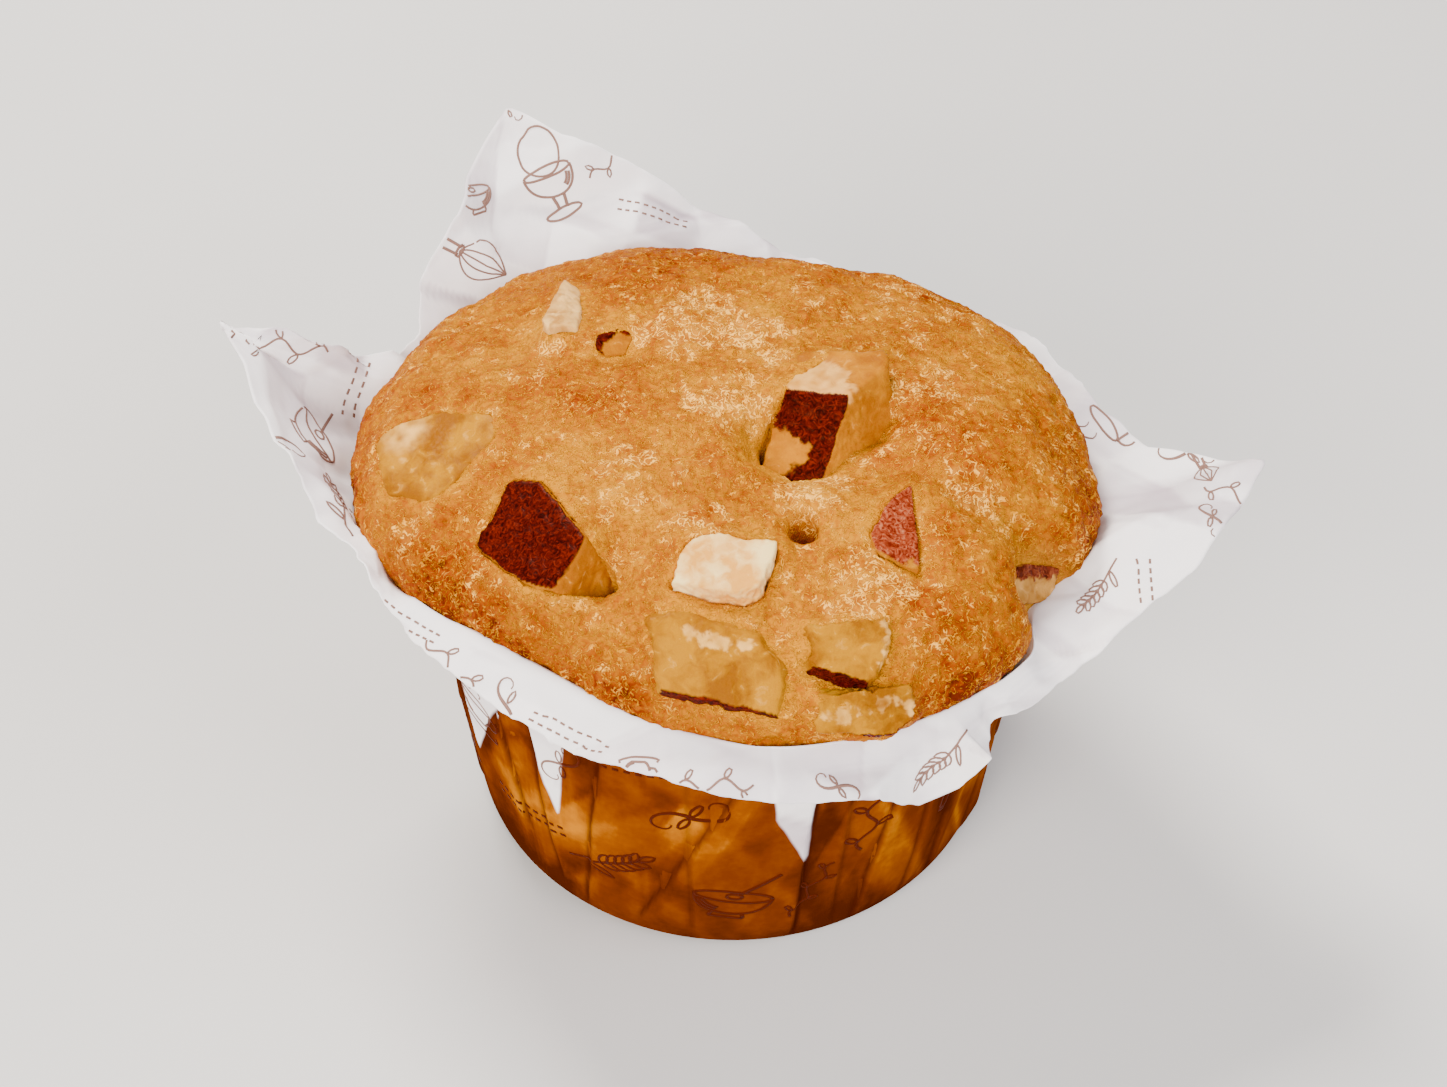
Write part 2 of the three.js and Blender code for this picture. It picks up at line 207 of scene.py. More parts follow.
def rim_distance(points: Array, rim: Array) -> tuple[Array, Array]:
    """Distance to a closed line, less than 0 inside it, and the line's level there.

    For each side, the distance to its nearest point; the sign changes with each side that
    a ray to the right crosses.

    Args:
        points: places, the last axis being x and y.
        rim: the corners in order: x, y and level.

    Returns:
        A distance and a level for each point.
    """
    nearest = np.full(points.shape[:-1], np.inf)
    level = np.zeros(points.shape[:-1])
    sign = np.ones(points.shape[:-1])
    for start, end in zip(rim, np.roll(rim, -1, axis=0)):
        side, reach = (end - start)[:2], points - start[:2]
        share = np.clip(np.sum(reach * side, -1) / np.sum(side * side), 0, 1)
        away = np.linalg.norm(reach - share[..., None] * side, axis=-1)
        level = np.where(away < nearest, mix(start[2], end[2], share), level)
        nearest = np.minimum(nearest, away)
        straddles = (start[1] > points[..., 1]) != (end[1] > points[..., 1])
        rise = side[1] if abs(side[1]) > 1e-9 else 1e-9
        crossing = start[0] + side[0] * (points[..., 1] - start[1]) / rise
        sign = np.where(straddles & (points[..., 0] < crossing), -sign, sign)
    return nearest * sign, level


# ------------------------------------------------------------------ meshes


@dataclass
class Surface:
    """A mesh in the making, with a number for each point under each layer's name."""

    points: Array
    quads: Array
    triangles: Array = field(default_factory=lambda: np.zeros((0, 3), int))
    layers: dict[str, Array] = field(default_factory=dict)

    def to_object(self, name: str, material: bpy.types.Material) -> bpy.types.Object:
        """Puts the surface into a mesh object at the origin, in metres.

        Args:
            name: of the object and its mesh.
            material: its one material.

        Returns:
            The object, linked into the scene.
        """
        mesh = bpy.data.meshes.new(name)
        mesh.vertices.add(len(self.points))
        mesh.vertices.foreach_set("co", (self.points * MM).ravel())
        corners = np.concatenate([self.quads.ravel(), self.triangles.ravel()])
        sizes = np.concatenate([np.full(len(self.quads), 4), np.full(len(self.triangles), 3)])
        mesh.loops.add(len(corners))
        mesh.loops.foreach_set("vertex_index", corners)
        mesh.polygons.add(len(sizes))
        mesh.polygons.foreach_set("loop_start", np.cumsum(sizes) - sizes)
        mesh.polygons.foreach_set("use_smooth", np.ones(len(sizes), bool))
        mesh.update(calc_edges=True)
        for layer, values in self.layers.items():
            attribute = mesh.attributes.new(layer, "FLOAT", "POINT")
            attribute.data.foreach_set("value", values.astype(np.float32).ravel())
        mesh.materials.append(material)
        thing = bpy.data.objects.new(name, mesh)
        bpy.context.scene.collection.objects.link(thing)
        return thing


def grid_quads(rows: int, columns: int, closed: bool) -> Array:
    """The quads of a grid of points that is numbered row by row.

    Args:
        rows: of points.
        columns: of points.
        closed: whether the last column is joined to the first.

    Returns:
        Four point numbers for each quad, anticlockwise where rows run up and columns
        run to the right.
    """
    row = np.arange(rows - 1)[:, None] * columns
    here = np.arange(columns if closed else columns - 1)[None, :]
    right = (here + 1) % columns
    corners = [row + here, row + right, row + right + columns, row + here + columns]
    return np.stack(np.broadcast_arrays(*corners), -1).reshape(-1, 4)


def fan(centre: int, ring: Array) -> Array:
    """Triangles of point numbers: a centre, a point of a closed ring and the next one."""
    return np.stack([np.full(len(ring), centre), ring, np.roll(ring, -1)], -1)


def grid_normals(points: Array, closed: bool) -> Array:
    """Unit normals of a grid of points: the slope along its columns' axis crossed with
    the slope along its rows' axis.

    Args:
        points: rows by columns by 3.
        closed: whether the last column is joined to the first.

    Returns:
        Normals of the same shape.
    """
    if closed:
        across = np.roll(points, -1, axis=1) - np.roll(points, 1, axis=1)
    else:
        across = np.gradient(points, axis=1)
    return unit(np.cross(across, np.gradient(points, axis=0)))


# ------------------------------------------------------------------ materials


def linear(code: str) -> tuple[float, float, float, float]:
    """Turns an sRGB hex code into the linear colour that shaders take."""
    shares = [int(code[i:i + 2], 16) / 255 for i in (1, 3, 5)]
    bright = [s / 12.92 if s <= 0.04045 else ((s + 0.055) / 1.055) ** 2.4 for s in shares]
    return (*bright, 1.0)


def per_metre(size: float) -> float:
    """The scale of a texture node whose features are that many millimetres wide."""
    return 1 / (size * MM)


# For each kind of shader node: the inputs that its values go to, in order, the output that
# later nodes read, and the property that a second word after the kind sets.
KINDS = {
    "TexCoord": ((), "Object", ""),
    "Attribute": ((), "Fac", "attribute_name"),
    "TexNoise": (("Vector", "Scale", "Detail", "Distortion"), "Fac", ""),
    "MapRange": (("Value", 1, 2, 3, 4), "Result", "interpolation_type"),  # from and to
    "Math": ((0, 1, 2), 0, "operation"),
    "Mix": ((0, 6, 7), 2, "data_type"),  # the share and the two colours
    "ValToRGB": (("Fac",), "Color", ""),
    "Bump": (("Height", "Strength", "Distance"), "Normal", ""),
}


def give(socket: bpy.types.NodeSocket, value: object, made: dict) -> None:
    """Links an input to the node of that label, or sets it to a number or a hex colour."""
    if value in made:
        socket.id_data.links.new(made[value], socket)
    else:
        socket.default_value = linear(value) if isinstance(value, str) else value


def add_node(
    tree: bpy.types.NodeTree, made: dict, kind: str, *values: object,
) -> bpy.types.NodeSocket:
    """Adds a shader node with its settings and links.

    Args:
        tree: the material's node tree.
        made: the outputs of the nodes before it, by label.
        kind: the node's type, after ShaderNode, and the word for its property if any.
        values: what its inputs get; for a colour ramp, its stops come last.

    Returns:
        The output that later nodes read.
    """
    kind, _, word = kind.partition(" ")
    inputs, output, setting = KINDS[kind]
    node = tree.nodes.new("ShaderNode" + kind)
    if word:
        setattr(node, setting, word)
    for key, value in zip(inputs, values):
        give(node.inputs[key], value, made)
    for i, (place, code) in enumerate(values[len(inputs):]):
        ramp = node.color_ramp.elements
        stop = ramp[i] if i < 2 else ramp.new(place)
        stop.position, stop.color = place, linear(code)
    return node.outputs[output]


def new_material(name: str, nodes: dict[str, tuple], surface: dict) -> bpy.types.Material:
    """Draws up a material with a single Principled BSDF.

    Args:
        name: of the material.
        nodes: the nodes before it in order, under the labels that later ones read them by.
        surface: what the inputs of the Principled BSDF get.

    Returns:
        The material.
    """
    material = bpy.data.materials.new(name)
    material.use_nodes = True
    tree, made = material.node_tree, {}
    for label, row in nodes.items():
        made[label] = add_node(tree, made, *row)
    for key, value in surface.items():
        give(tree.nodes["Principled BSDF"].inputs[key], value, made)
    return material


@dataclass(frozen=True)
class BakedCrust:
    """Muffin crust: batter browned in the oven, golden over orange brown. Burst bubbles and
    melted sugar leave a dense grain of short curls, painted with highlights that turn cream
    in the painted glints, and a painted sheen film lies where sugar and sheen are thick.
    """

    name: str = "baked muffin crust"
    browning: tuple[tuple[float, str], ...] = (
        (0.0, "#BE7A00"), (0.22, "#AC6600"), (0.42, "#9E5400"), (0.62, "#904200"),
        (0.82, "#7C2C00"), (1.0, "#5A1800"),
    )
    # painted highlights on the curls: golden, and cream in the painted glints
    curl_highlight_gold: str = "#DC9000"
    curl_highlight_cream: str = "#FFB848"
    # sheen_film: painted sheen over the sugar, where sugar and sheen are thick
    sheen_film: str = "#D49230"
    crumb: str = "#BC8024"
    blotch: float = 3.2  # mm, uneven browning
    # curl: mm, the curls, which give the bump and carry painted highlights
    curl: float = 1.0  # mm, the burst bubbles
    # glint: mm, from one painted glint to the next
    glint: float = 1.5  # mm, from one shiny place to the next
    grit: float = 0.7  # mm, the finest grain that still shows
    depth: float = 0.28  # mm, of the curls and the grit
    roughness: float = 0.55

    def build(self) -> bpy.types.Material:
        """The material; it reads the layers bake, sugar and crumb.

        The curls are where a distorted noise is near its middle, which are winding lines of
        painted highlight, and the lines are wider and paler in the painted glints, of which there
        are more where there is more sugar and sheen.
        """
        return new_material(self.name, {
            "place": ("TexCoord",),
            "bake": ("Attribute bake",),
            "sugar": ("Attribute sugar",),
            "torn": ("Attribute crumb",),
            "blotch": ("TexNoise", "place", per_metre(self.blotch), 3.0),
            "spread": ("MapRange", "blotch", 0.3, 0.7, -0.2, 0.2),
            "grit": ("TexNoise", "place", per_metre(self.grit), 2.0, 0.6),
            "gritty": ("MapRange", "grit", 0.3, 0.7, 0.22, -0.22),
            "blotched": ("Math ADD", "bake", "spread"),
            "shade": ("Math ADD", "blotched", "gritty"),
            "browned": ("ValToRGB", "shade", *self.browning),
            "shiny": ("TexNoise", "place", per_metre(self.glint), 3.0),
            "sugared": ("Math MULTIPLY_ADD", "sugar", 0.32, "shiny"),
            "glint": ("MapRange SMOOTHSTEP", "sugared", 0.54, 0.86),
            "winding": ("TexNoise", "place", per_metre(self.curl), 1.6, 1.7),
            "centred": ("Math SUBTRACT", "winding", 0.5),
            "away": ("Math ABSOLUTE", "centred"),
            "width": ("MapRange", "glint", 0, 1, 0.03, 0.06),
            "within": ("Math SUBTRACT", "width", "away"),
            "line": ("MapRange SMOOTHSTEP", "within", -0.02, 0.02),
            "strength": ("MapRange", "glint", 0, 1, 0.6, 0.95),
            "curl": ("Math MULTIPLY", "line", "strength"),
            "curl colour": ("Mix RGBA", "glint", self.curl_highlight_gold, self.curl_highlight_cream),
            # painted sheen film over the browning
            "thick": ("MapRange", "sugared", 0.66, 1, 0, 0.4),
            "filmed": ("Mix RGBA", "thick", "browned", self.sheen_film),
            "curled": ("Mix RGBA", "curl", "filmed", "curl colour"),
            "colour": ("Mix RGBA", "torn", "curled", self.crumb),
            "height": ("Math ADD", "line", "grit"),
            "relief": ("Bump", "height", 0.9, self.depth * MM),
        }, {
            "Base Color": "colour", "Normal": "relief", "Roughness": self.roughness,
            "Specular IOR Level": 0.03, "Specular Tint": "#FFB050",
            "Subsurface Weight": 0.1, "Subsurface Radius": (1.0, 0.5, 0.15),
            "Subsurface Scale": 1.0 * MM,
        })


@dataclass(frozen=True)
class SweetPotato:
    """Boiled sweet potato, diced with its skin on: flesh like wax that light enters, with
    faint fibres, under a thin wine red skin that is wrinkled and satin.
    """

    name: str
    light: str = "#B87A08"
    deep: str = "#965400"
    # cream: cream flesh, and the colour of painted highlights and glints
    cream: str = "#E8B468"
    skin: str = "#440804"
    # the skin is darker in its wrinkles' hollows and paler on their ridges
    skin_dark: str = "#220202"
    skin_ridges: str = "#701C08"
    cloud: float = 4.5  # mm, where it is cooked more or less
    fibre: float = 1.3  # mm
    wrinkle: float = 0.7  # mm
    depth: float = 0.15  # mm, of the wrinkles
    roughness: float = 0.34

    def build(self) -> bpy.types.Material:
        """The material; it reads the layers skin and cream, which is partly cream flesh and partly
        painted highlight; peaks of the fibre noise are painted glints.
        """
        return new_material(self.name, {
            "place": ("TexCoord",),
            "skin": ("Attribute skin",),
            "cream": ("Attribute cream",),
            "fibre": ("TexNoise", "place", per_metre(self.fibre), 3.0, 0.8),
            "cloud": ("TexNoise", "place", per_metre(self.cloud), 1.0),
            "fibrous": ("Math MULTIPLY", "fibre", 0.4),
            "uneven": ("Math MULTIPLY_ADD", "cloud", 0.6, "fibrous"),
            "flesh": ("ValToRGB", "uneven", (0.4, self.deep), (0.6, self.light)),
            # painted glints on the fibres
            "glint": ("MapRange", "fibre", 0.62, 0.76, 0, 0.45),
            "waxy": ("Math MAXIMUM", "cream", "glint"),
            "creamed": ("Mix RGBA", "waxy", "flesh", self.cream),
            "wrinkle": ("TexNoise", "place", per_metre(self.wrinkle), 4.0, 2.0),
            "peel": ("ValToRGB", "wrinkle", (0.36, self.skin_dark), (0.52, self.skin),
                     (0.78, self.skin_ridges)),
            "colour": ("Mix RGBA", "skin", "creamed", "peel"),
            "relief": ("Bump", "wrinkle", 0.35, self.depth * MM),
        }, {
            "Base Color": "colour", "Normal": "relief", "Roughness": self.roughness,
            "Specular IOR Level": 0.05, "Specular Tint": "#FFC080",
            "Subsurface Weight": 0.15, "Subsurface Radius": (1.0, 0.6, 0.2),
            "Subsurface Scale": 1.5 * MM,
        })


@dataclass(frozen=True)
class GreaseproofPaper:
    """Bleached greaseproof paper: smooth and hard calendered, white with a rosy shade,
    and where oil has soaked it, translucent with the brown crust showing through.
    """

    name: str = "greaseproof baking paper"
    white: str = "#FDF7F5"
    # shade: the colour of the petals' painted facet shade, and of the pulp's cloudy parts
    shade: str = "#C4B4BA"
    soaked: tuple[tuple[float, str], ...] = (
        (0.1, "#441600"), (0.36, "#642800"), (0.6, "#803E00"), (0.9, "#B66E00"),
    )
    # fold: painted crease shade along the foot of each fold's step
    fold: str = "#3A0E00"
    wicking: float = 0.22  # mm, over which soaked paper turns dry
    cloud: float = 7.0  # mm, unevenness of the pulp
    fibre: float = 0.9  # mm
    depth: float = 0.08  # mm, of the fibres

    def build(self) -> bpy.types.Material:
        """The material; it reads the layers soak, tone, fold and dent. The fold lines and the facet
        shade are painted shade, and the wall's tone carries painted light and shade.
        """
        return new_material(self.name, {
            "place": ("TexCoord",),
            "soak": ("Attribute soak",),
            "wet share": ("MapRange SMOOTHSTEP", "soak", -self.wicking, self.wicking),
            "tone": ("Attribute tone",),
            "fold": ("Attribute fold",),
            "dent": ("Attribute dent",),
            "cloud": ("TexNoise", "place", per_metre(self.cloud), 3.0),
            "fibre": ("TexNoise", "place", per_metre(self.fibre), 3.0),
            "clouded": ("MapRange", "cloud", 0.3, 0.7, 0.1, -0.1),
            # painted shade of the facets plus the pulp's unevenness
            "shadow": ("Math ADD", "dent", "clouded"),
            "dry": ("ValToRGB", "shadow", (0.3, self.white), (1.0, self.shade)),
            "grain": ("MapRange", "fibre", 0.3, 0.7, -0.04, 0.04),
            # the wall's tone with its painted light and shade, plus the fibres' grain
            "deep": ("Math ADD", "tone", "grain"),
            "wet": ("ValToRGB", "deep", *self.soaked),
            "creased": ("Mix RGBA", "fold", "wet", self.fold),
            "colour": ("Mix RGBA", "wet share", "dry", "creased"),
            "roughness": ("MapRange", "wet share", 0, 1, 0.55, 0.42),
            "relief": ("Bump", "fibre", 0.1, self.depth * MM),
        }, {
            "Base Color": "colour", "Normal": "relief", "Roughness": "roughness",
            "Specular IOR Level": 0.0,
        })


@dataclass(frozen=True)
class PrintInk:
    """Food-safe brown ink, printed thin: it looks rosy on dry paper and dark on soaked."""

    name: str = "brown printing ink"
    dry: str = "#86665A"
    wet: str = "#481400"

    def build(self) -> bpy.types.Material:
        """The material; it reads the layer soak."""
        return new_material(self.name, {
            "soak": ("Attribute soak",),
            "wet share": ("MapRange", "soak", -0.2, 0.2),
            "colour": ("Mix RGBA", "wet share", self.dry, self.wet),
        }, {"Base Color": "colour", "Roughness": 0.5, "Specular IOR Level": 0.02})


@dataclass(frozen=True)
class StudioBoard:
    """Matt painted board under the object: pale, evenly lit, hardly mottled."""

    name: str = "matt studio board"
    pale: str = "#D2CFCB"
    dull: str = "#CECBC7"
    mottle: float = 60.0  # mm

    def build(self) -> bpy.types.Material:
        """The material."""
        return new_material(self.name, {
            "place": ("TexCoord",),
            "mottle": ("TexNoise", "place", per_metre(self.mottle), 2.0),
            "colour": ("ValToRGB", "mottle", (0.3, self.dull), (0.7, self.pale)),
        }, {"Base Color": "colour", "Roughness": 0.8})


# ------------------------------------------------------------------ the cake


@dataclass
class Cake:
    """The muffin: a straight cup, a neck, a lip that wanders and a low crown."""

    foot_radius: float = 29
    neck_radius: float = 32
    neck_height: float = 35
    lip_height: float = 44
    lip_radius_mean: float = 36.6
    lip_waves: tuple = (  # times round the lip, height and azimuth of a crest
        (1, 0.3, 150), (2, 3.1, -37), (3, 1.05, 126), (4, 0.6, 42), (5, 0.45, -131),
    )
    notch: tuple = (333, 7, 5)  # azimuth, half width and depth of the split in the lip
    crown_rise_mean: float = 13
    crown_lean: float = 1.5
    squareness: float = 2.4
    floor: float = 0.7
    under_lip: float = 37.5  # the cap's fine grid ends here, behind the paper
    lip_share: float = 0.85  # share of that grid that lies above the lip
    cap_points: int = 292
    side_heights: tuple = (36, 33, 27, 20, 12, 5, 1.6)
    foot_edge: float = 1.6  # the foot's rounding
    undercut: float = 3.0  # how fast the crust falls away under a dice
    deepest: float = 2.6  # mm that it falls there
    rubbed: float = 1.4  # mm over which a dice keeps the crust pale
    swells: tuple = (  # x, y, reach and height, below 0 for a hollow
        (-20, -17, 6, 0.9), (-13, -22.5, 6, 1.1), (-6, -26, 6, 0.7),
        (27, -8, 11, 1.2), (21, -24, 8, 1.2), (-10, 20, 10, 0.8),
        (12, 19, 9, 0.4), (2, -24, 9, -1.6), (13, -9, 5, -3),
        (3, -12, 5, -1.6), (-12.5, -20, 4.5, -2.6), (7, -17.5, 2.5, -1.4),
        (-12, 8, 4, -1.2), (-24, 12, 5, -1),
    )
    pits: tuple = (  # likewise
        (7, -17.3, 1.3, -2.6), (-13.4, 9, 1.0, -1.2), (-10.4, -25.5, 1.2, -0.9),
        (-8.5, -26.5, 0.9, -0.7), (21.5, -30, 1.3, -0.8),
    )
    # browned: x, y, reach and how much more browning; the last is painted shade in the deep pit
    browned: tuple = (  # blotches: x, y, reach and how much more
        (-13.8, 0.8, 6, 0.22), (21.7, -3, 6, 0.2), (-8, 24, 10, 0.22), (12, 24, 9, 0.2),
        (21, -27, 7, 0.25), (-33, 2, 6, 0.2), (-28, -18, 7, 0.25), (34, -4, 6, 0.2),
        (0, -7, 12, -0.1), (3, -30, 9, -0.2), (12, -16, 7, -0.1), (7, -17.4, 1.3, 0.5),
    )
    # sugared: x, y, reach and how much more sugar and painted sheen
    sugared: tuple = (  # likewise
        (-4, 10, 6.5, 0.6), (3, 9, 5.5, 0.5), (-0.5, -1, 5, 0.6), (19, 3, 4.5, 0.5),
        (8, -12, 5.5, 0.6), (20, 19, 6, 0.35), (-8, -12, 5.5, 0.45), (-27, -2, 4, 0.3),
        (12, -24, 4.5, 0.45), (-4, -17, 4, 0.4), (24, -10, 4, 0.3), (-22, 6, 4, 0.3),
    )

    def lip_radius(self, azimuth: Array) -> Array:
        """Mean radius, plus waves round the lip, less a bell at the notch."""
        radius = self.lip_radius_mean + 0 * azimuth
        for times, depth, crest in self.lip_waves:
            radius = radius + depth * np.cos(times * azimuth - np.radians(crest))
        centre, width, depth = self.notch
        return radius - depth * bell(angle_between(np.radians(centre), azimuth) / np.radians(width))

    def crown_rise(self, y: Array) -> Array:
        """Height of the crown over the lip: a mean, less a slope towards the back."""
        return self.crown_rise_mean - self.crown_lean * y / self.lip_radius_mean

    def radius(self, azimuth: Array, z: Array) -> Array:
        """Radius of the smooth cake: a straight taper to the neck, a smooth S to the
        lip, and lip * (1 - climb^2)^(1/squareness) above it."""
        lip = self.lip_radius(azimuth)
        wall = mix(self.foot_radius, self.neck_radius, z / self.neck_height)
        flare = mix(self.neck_radius, lip, smoothstep(z, self.neck_height, self.lip_height))
        rise = self.crown_rise(lip * np.sin(azimuth))
        climb = np.clip((z - self.lip_height) / rise, 0, 1)
        crown = lip * (1 - climb ** 2) ** (1 / self.squareness)
        return np.where(z <= self.neck_height, wall, np.where(z <= self.lip_height, flare, crown))

    def crown_height(self, x: Array, y: Array) -> Array:
        """Height of the smooth crown over a point of the base, by the same formula."""
        share = np.clip(np.hypot(x, y) / self.lip_radius(np.arctan2(y, x)), 0, 1)
        return self.lip_height + self.crown_rise(y) * np.sqrt(1 - share ** self.squareness)

    def outward(self, points: Array) -> Array:
        """Direction out of the ellipsoid that is as wide as the lip and as high as the
        crown, and level below the lip."""
        lip = self.lip_radius(np.arctan2(points[..., 1], points[..., 0]))
        rise = np.maximum(points[..., 2] - self.lip_height, 0) / self.crown_rise_mean ** 2
        return unit(np.stack([points[..., 0] / lip ** 2, points[..., 1] / lip ** 2, rise], -1))

    def relief(self, points: Array, swells: tuple) -> Array:
        """Sum of a bell for each swell, fading out from the lip to the neck."""
        total = np.zeros(points.shape[:-1])
        for x, y, reach, height in swells:
            centre = (x, y, float(self.crown_height(x, y)))
            total += height * bell(np.linalg.norm(points - centre, axis=-1) / reach)
        return total * smoothstep(points[..., 2], self.neck_height, self.lip_height)

    def swollen_radius(self, azimuth: Array, z: Array) -> Array:
        """Radius of the cake with its swells, which the paper has to pass."""
        smooth = around(azimuth, self.radius(azimuth, z), z)
        moved = smooth + self.relief(smooth, self.swells)[..., None] * self.outward(smooth)
        return np.maximum(np.hypot(moved[..., 0], moved[..., 1]), self.radius(azimuth, z))

    def cap(self) -> Array:
        """The smooth cap as a square grid bent into a disc.

        A square ring |a| = r or |b| = r becomes the circle of radius r, at an azimuth of
        45 degrees times the share along its side. The radius then runs along the crown's
        arc length and on below the lip.

        Returns:
            Points, rows by columns by 3.
        """
        line = np.linspace(-1, 1, self.cap_points)
        a, b = np.meshgrid(line, line, indexing="ij")
        wide = np.abs(a) > np.abs(b)
        share = np.where(wide, a, b)
        safe = np.where(share == 0, 1, share)
        turn = np.where(wide, np.pi / 4 * b / safe, np.pi / 2 - np.pi / 4 * a / safe)
        azimuth = np.arctan2(share * np.sin(turn), share * np.cos(turn))
        share = np.abs(share)

        climb = np.linspace(np.pi / 2, 0, 300)
        reach = self.lip_radius_mean * np.cos(climb) ** (2 / self.squareness)
        height = self.crown_rise_mean * np.sin(climb)
        length = run_length(np.stack([reach, height], -1))
        climbed = np.interp(share / self.lip_share, length / length[-1], climb)
        radius = self.lip_radius(azimuth) * np.cos(climbed) ** (2 / self.squareness)
        crown = around(azimuth, radius, 0.0)
        crown[..., 2] = self.lip_height + self.crown_rise(crown[..., 1]) * np.sin(climbed)

        down = np.clip((share - self.lip_share) / (1 - self.lip_share), 0, 1)
        z = mix(self.lip_height, self.under_lip, down)
        below = around(azimuth, self.radius(azimuth, z), z)
        return np.where((share > self.lip_share)[..., None], below, crown)

    def grain(self, points: Array) -> Array:
        """Height of the crust's own unevenness: broad waves, then a net of short ridges
        1 - |noise| whose places are warped so that they curl, and scattered pores."""
        noise = Noise(11)
        warp = np.stack([noise.at(points + 31 * i, 3.0) for i in (1, 2, 3)], -1)
        curled = points + 0.9 * warp
        broad = 0.5 * noise.at(points + 50, 12.0) + 0.36 * noise.at(points + 80, 5.0)
        ridges = 0.24 * (1 - np.abs(noise.at(curled, 1.7)) * 2)
        bubbles = 0.14 * noise.at(curled + 17, 0.95)
        pores = -0.32 * smoothstep(noise.at(points + 5, 2.4), 0.42, 0.75)
        return broad + ridges + bubbles + pores

    def make_room(self, points: Array, dice: "Dice", noise: Noise) -> tuple[Array, Array]:
        """Draws the crust to the line where it meets a dice, and down under the dice.

        Outside the line the level is the crust's own plus exp(-(d / spread)^2) of what is
        missing to the line's, less a small groove; inside, it falls three times as fast as
        it goes in.

        Args:
            points: of the crust.
            dice: the one that sits there.
            noise: makes the line ragged.

        Returns:
            The moved points, and how near each lies to the line, 0 to 1.
        """
        axes = dice.axes()
        local = (points - np.array(dice.at)) @ axes.T
        size = np.abs(np.array(dice.rim)[:, :2]).max() + 3 * dice.spread
        chosen = np.abs(local).max(-1) < size
        flat, height = local[chosen][:, :2], local[chosen][:, 2]
        distance, level = rim_distance(flat, np.array(dice.rim, float))
        uneven = 0.2 + 0.6 * max(dice.lap, 0)
        distance = distance + dice.lap + uneven * noise.layered(points[chosen], 2.2, 3)
        away = np.maximum(distance, 0)
        pulled = height + (level - height) * bell(away / dice.spread)
        pulled -= dice.groove * np.exp(-away / 0.35)
        inside = level - dice.groove + np.maximum(self.undercut * distance, -self.deepest)
        target = np.where(distance > 0, pulled, inside)
        moved = points.copy()
        moved[chosen] += (target - height)[:, None] * axes[2]
        close = np.zeros(len(points))
        close[chosen] = bell(away / self.rubbed)
        return moved, close

    def crust(self, smooth: Array, dice: list["Dice"]) -> tuple[Array, Array]:
        """The cap with its swells, grain and pits, which end behind the paper, and with
        room for the dice.

        Args:
            smooth: the smooth cap.
            dice: the pieces that the crust makes room for, one after another.

        Returns:
            The cap's points, and how near a dice each lies, 0 to 1.
        """
        swollen = smooth + self.relief(smooth, self.swells)[..., None] * self.outward(smooth)
        fade = smoothstep(swollen[..., 2], self.under_lip + 0.5, self.lip_height - 2)
        normals = grid_normals(swollen, closed=False)
        normals *= np.sign(np.sum(normals * self.outward(swollen), -1, keepdims=True))
        height = (self.grain(smooth) + self.relief(smooth, self.pits)) * fade
        points, noise = (swollen + height[..., None] * normals).reshape(-1, 3), Noise(37)
        touching = np.zeros(len(points))
        for piece in dice:
            points, close = self.make_room(points, piece, noise)
            touching = np.maximum(touching, close)
        return points.reshape(smooth.shape), touching.reshape(smooth.shape[:-1])

    def build(self, dice: list["Dice"], crust: bpy.types.Material) -> bpy.types.Object:
        """The whole cake: the cap's disc, a wall down from its border, and a flat foot.

        Args:
            dice: the pieces that the crust makes room for.
            crust: its material.

        Returns:
            The muffin's object.
        """
        smooth = self.cap()
        points, touching = self.crust(smooth, dice)
        count = self.cap_points
        numbers = np.arange(count * count).reshape(count, count)
        border = np.concatenate([
            numbers[-1, :-1], numbers[:0:-1, -1], numbers[0, :0:-1], numbers[:-1, 0],
        ])
        rim = points.reshape(-1, 3)[border]
        azimuth = np.arctan2(rim[:, 1], rim[:, 0])
        if angle_between(azimuth[0], azimuth[8]) < 0:
            border, azimuth = border[::-1], azimuth[::-1]
        rings = [around(azimuth, self.radius(azimuth, z), z) for z in self.side_heights]
        rings.append(around(azimuth, self.foot_radius - self.foot_edge, self.floor))
        everything = np.concatenate([points.reshape(-1, 3), *rings, [[0, 0, self.floor]]])
        added = np.arange(count * count, len(everything) - 1).reshape(len(rings), -1)
        ladder = np.concatenate([border[None], added])
        left, right = ladder, np.roll(ladder, -1, axis=1)
        wall = np.stack([left[1:], right[1:], right[:-1], left[:-1]], -1).reshape(-1, 4)
        bottom = fan(len(everything) - 1, ladder[-1])[:, [1, 0, 2]]
        cap = grid_quads(count, count, closed=False)
        a, b, c = everything[cap[len(cap) // 2, :3]]
        if np.cross(b - a, c - a)[2] < 0:
            cap = cap[:, ::-1]
        surface = Surface(everything, np.concatenate([cap, wall]), bottom)
        surface.layers = self.colours(smooth, touching, added.size + 1)
        return surface.to_object("muffin_crust", crust)

